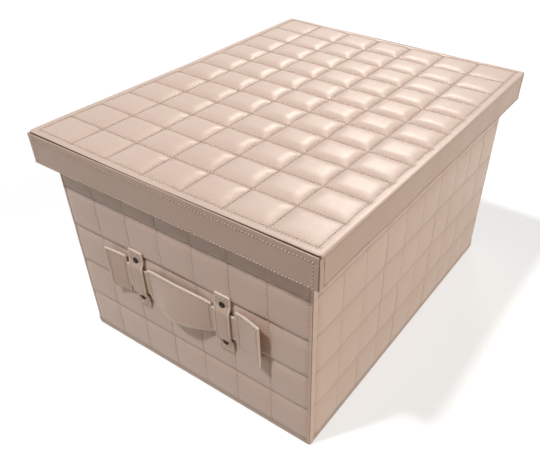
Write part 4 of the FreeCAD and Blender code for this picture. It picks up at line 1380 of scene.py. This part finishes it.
def near_lamp(name, place, target, width, half_spread, strength, tint):
    """A round lamp that fades away from its target, where a strength of 1 shows colours as they are."""
    light = bpy.data.lights.new(name, "AREA")
    towards = Vector(place) - Vector(target)
    light.shape, light.size, light.color, light.spread = "DISK", width, tint, 2 * half_spread
    narrowing = 1 - half_spread / math.tan(half_spread)
    light.energy = strength * math.pi ** 2 * towards.length_squared * narrowing
    aim(light, towards, place)


def seen_ray(tree):
    """1 for rays that show the surroundings themselves: seen, mirrored or through glass."""
    path = add(tree, "ShaderNodeLightPath")
    straight = add(tree, "ShaderNodeMath", {0: path.outputs["Is Camera Ray"],
                                            1: path.outputs["Is Transmission Ray"]}, operation="MAXIMUM")
    return add(tree, "ShaderNodeMath", {0: straight, 1: path.outputs["Is Glossy Ray"]}, operation="MAXIMUM")


def make_camera(scene, settings):
    camera = bpy.data.cameras.new("camera")
    camera.sensor_width = SENSOR
    camera.lens = settings.focal / PICTURE[0] * SENSOR
    camera.shift_x = (PICTURE[0] / 2 - settings.centre_across) / PICTURE[0]
    camera.shift_y = (settings.centre_down - PICTURE[1] / 2) / PICTURE[0]
    camera.clip_start = 0.01
    holder = bpy.data.objects.new("camera", camera)
    axes = camera_axes(settings.azimuth, settings.elevation, settings.roll)
    holder.matrix_world = Matrix.Translation(settings.place) @ axes.to_4x4()
    scene.collection.objects.link(holder)
    scene.camera = holder


def make_lamps(settings):
    near_lamp("lamp behind", place=(-0.44, 1.04, 1.14), target=(0.05, -0.08, LID_HIGH.z), width=0.46,
              half_spread=math.radians(18), strength=settings.rear_light, tint=(1.0, 0.95, 0.88))
    far_lamp("lamp at the front left", towards=(-0.28, -0.4, 0.87), width=5,
             strength=settings.front_light, tint=(0.96, 0.99, 0.99))
    far_lamp("lamp at the right", towards=(0.87, 0.03, 0.33), width=40,
             strength=settings.right_light, tint=(1.0, 0.93, 0.8))


def make_room(scene, settings):
    """Even light from all round, which shows as plain white."""
    world = bpy.data.worlds.new("even white room")
    world.use_nodes = True
    scene.world = world
    tree, background = world.node_tree, world.node_tree.nodes["Background"]
    strength = add(tree, "ShaderNodeMapRange", {"Value": seen_ray(tree), "To Min": settings.sky,
                                                "To Max": 1.0})
    background.inputs["Color"].default_value = (1, 1, 1, 1)
    tree.links.new(strength.outputs[0], background.inputs["Strength"])


def pale_paper():
    """Matte pale paper: it looks white, and sends little and warm light back to the box."""
    glow = 0.62
    material, tree, shader = new_material("matte pale paper")
    seen = seen_ray(tree)
    tint = add(tree, "ShaderNodeMix", {0: seen, 6: (*linear("#927D69"), 1), 7: (*linear("#BCBCBC"), 1)},
               data_type="RGBA")
    light = add(tree, "ShaderNodeMath", {0: seen, 1: glow}, operation="MULTIPLY")
    tree.links.new(tint.outputs[2], shader.inputs["Base Color"])
    tree.links.new(light.outputs[0], shader.inputs["Emission Strength"])
    shader.inputs["Emission Color"].default_value = (1, 1, 1, 1)
    shader.inputs["Roughness"].default_value = 0.9
    return material


def make_stage(context):
    scene, settings, edge = context.scene, context.scene.box_stage, 4.0  # metres from the middle
    make_camera(scene, settings)
    make_lamps(settings)
    make_room(scene, settings)
    corners = [(-edge, -edge, 0), (edge, -edge, 0), (edge, edge, 0), (-edge, edge, 0)]
    floor = new_piece("floor", corners, [(0, 1, 2, 3)], material=pale_paper())
    floor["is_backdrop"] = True
    scene.view_settings.view_transform = "Standard"


# The add-on's operators, panel and registration.

class STORAGEBOX_OT_stage(bpy.types.Operator):
    """Set up the floor, the lamps and the camera"""
    bl_idname = "storagebox.stage"
    bl_label = "Stage"

    def execute(self, context):
        make_stage(context)
        return {"FINISHED"}


class STORAGEBOX_OT_walls(bpy.types.Operator):
    """Make the quilted covers of the four walls"""
    bl_idname = "storagebox.walls"
    bl_label = "Quilted walls"

    def execute(self, context):
        make_walls(context)
        return {"FINISHED"}


class STORAGEBOX_OT_lid_top(bpy.types.Operator):
    """Make the quilted top of the lid"""
    bl_idname = "storagebox.lid_top"
    bl_label = "Quilted lid"

    def execute(self, context):
        make_lid_top(context)
        return {"FINISHED"}


class STORAGEBOX_OT_skirt(bpy.types.Operator):
    """Make the plain skirt around the lid"""
    bl_idname = "storagebox.skirt"
    bl_label = "Skirt"

    def execute(self, context):
        make_skirt(context)
        return {"FINISHED"}


class STORAGEBOX_OT_base(bpy.types.Operator):
    """Make the leather tray under the base"""
    bl_idname = "storagebox.base"
    bl_label = "Base"

    def execute(self, context):
        make_base(context)
        return {"FINISHED"}


class STORAGEBOX_OT_inside(bpy.types.Operator):
    """Finish the boards, the linings and the loose floor board"""
    bl_idname = "storagebox.inside"
    bl_label = "Boards and linings"

    def execute(self, context):
        make_inside(context)
        return {"FINISHED"}


class STORAGEBOX_OT_straps(bpy.types.Operator):
    """Make the strap of each handle"""
    bl_idname = "storagebox.straps"
    bl_label = "Straps"

    def execute(self, context):
        make_straps(context)
        return {"FINISHED"}


class STORAGEBOX_OT_keepers(bpy.types.Operator):
    """Make the keepers that hold the straps"""
    bl_idname = "storagebox.keepers"
    bl_label = "Keepers"

    def execute(self, context):
        make_keepers(context)
        return {"FINISHED"}


class STORAGEBOX_OT_rivets(bpy.types.Operator):
    """Set the rivets and their caps"""
    bl_idname = "storagebox.rivets"
    bl_label = "Rivets"

    def execute(self, context):
        make_rivets(context)
        return {"FINISHED"}


class STORAGEBOX_OT_stitches(bpy.types.Operator):
    """Sew every seam and edge"""
    bl_idname = "storagebox.stitches"
    bl_label = "Stitches"

    def execute(self, context):
        make_stitches(context)
        return {"FINISHED"}


OPERATORS = [STORAGEBOX_OT_stage, STORAGEBOX_OT_walls, STORAGEBOX_OT_lid_top, STORAGEBOX_OT_skirt,
             STORAGEBOX_OT_base, STORAGEBOX_OT_inside, STORAGEBOX_OT_straps, STORAGEBOX_OT_keepers,
             STORAGEBOX_OT_rivets, STORAGEBOX_OT_stitches]
SETTINGS = {"box_quilt": QuiltSettings, "box_stitch": StitchSettings, "box_strap": StrapSettings,
            "box_finish": FinishSettings, "box_stage": StageSettings}


class STORAGEBOX_PT_panel(bpy.types.Panel):
    """The storage box's settings and its steps, in order"""
    bl_idname = "STORAGEBOX_PT_panel"
    bl_label = "Storage Box"
    bl_space_type = "VIEW_3D"
    bl_region_type = "UI"
    bl_category = "Storage Box"

    def draw(self, context):
        for name, group in SETTINGS.items():
            column = self.layout.column(align=True)
            for setting in group.__annotations__:
                column.prop(getattr(context.scene, name), setting)
        for operator in OPERATORS:
            self.layout.operator(operator.bl_idname)


def register():
    for kind in [*SETTINGS.values(), *OPERATORS, STORAGEBOX_PT_panel]:
        bpy.utils.register_class(kind)
    for name, group in SETTINGS.items():
        setattr(bpy.types.Scene, name, bpy.props.PointerProperty(type=group))


def unregister():
    for name in SETTINGS:
        delattr(bpy.types.Scene, name)
    for kind in reversed([*SETTINGS.values(), *OPERATORS, STORAGEBOX_PT_panel]):
        bpy.utils.unregister_class(kind)


def main():
    register()
    for operator in OPERATORS:
        getattr(bpy.ops.storagebox, operator.bl_idname.split(".")[1])()
    boxes = {"cad": CAD_BOX, "visual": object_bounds()}
    {name: [list(corner) for corner in box] for name, box in boxes.items()}


if __name__ == "__main__":
    main()
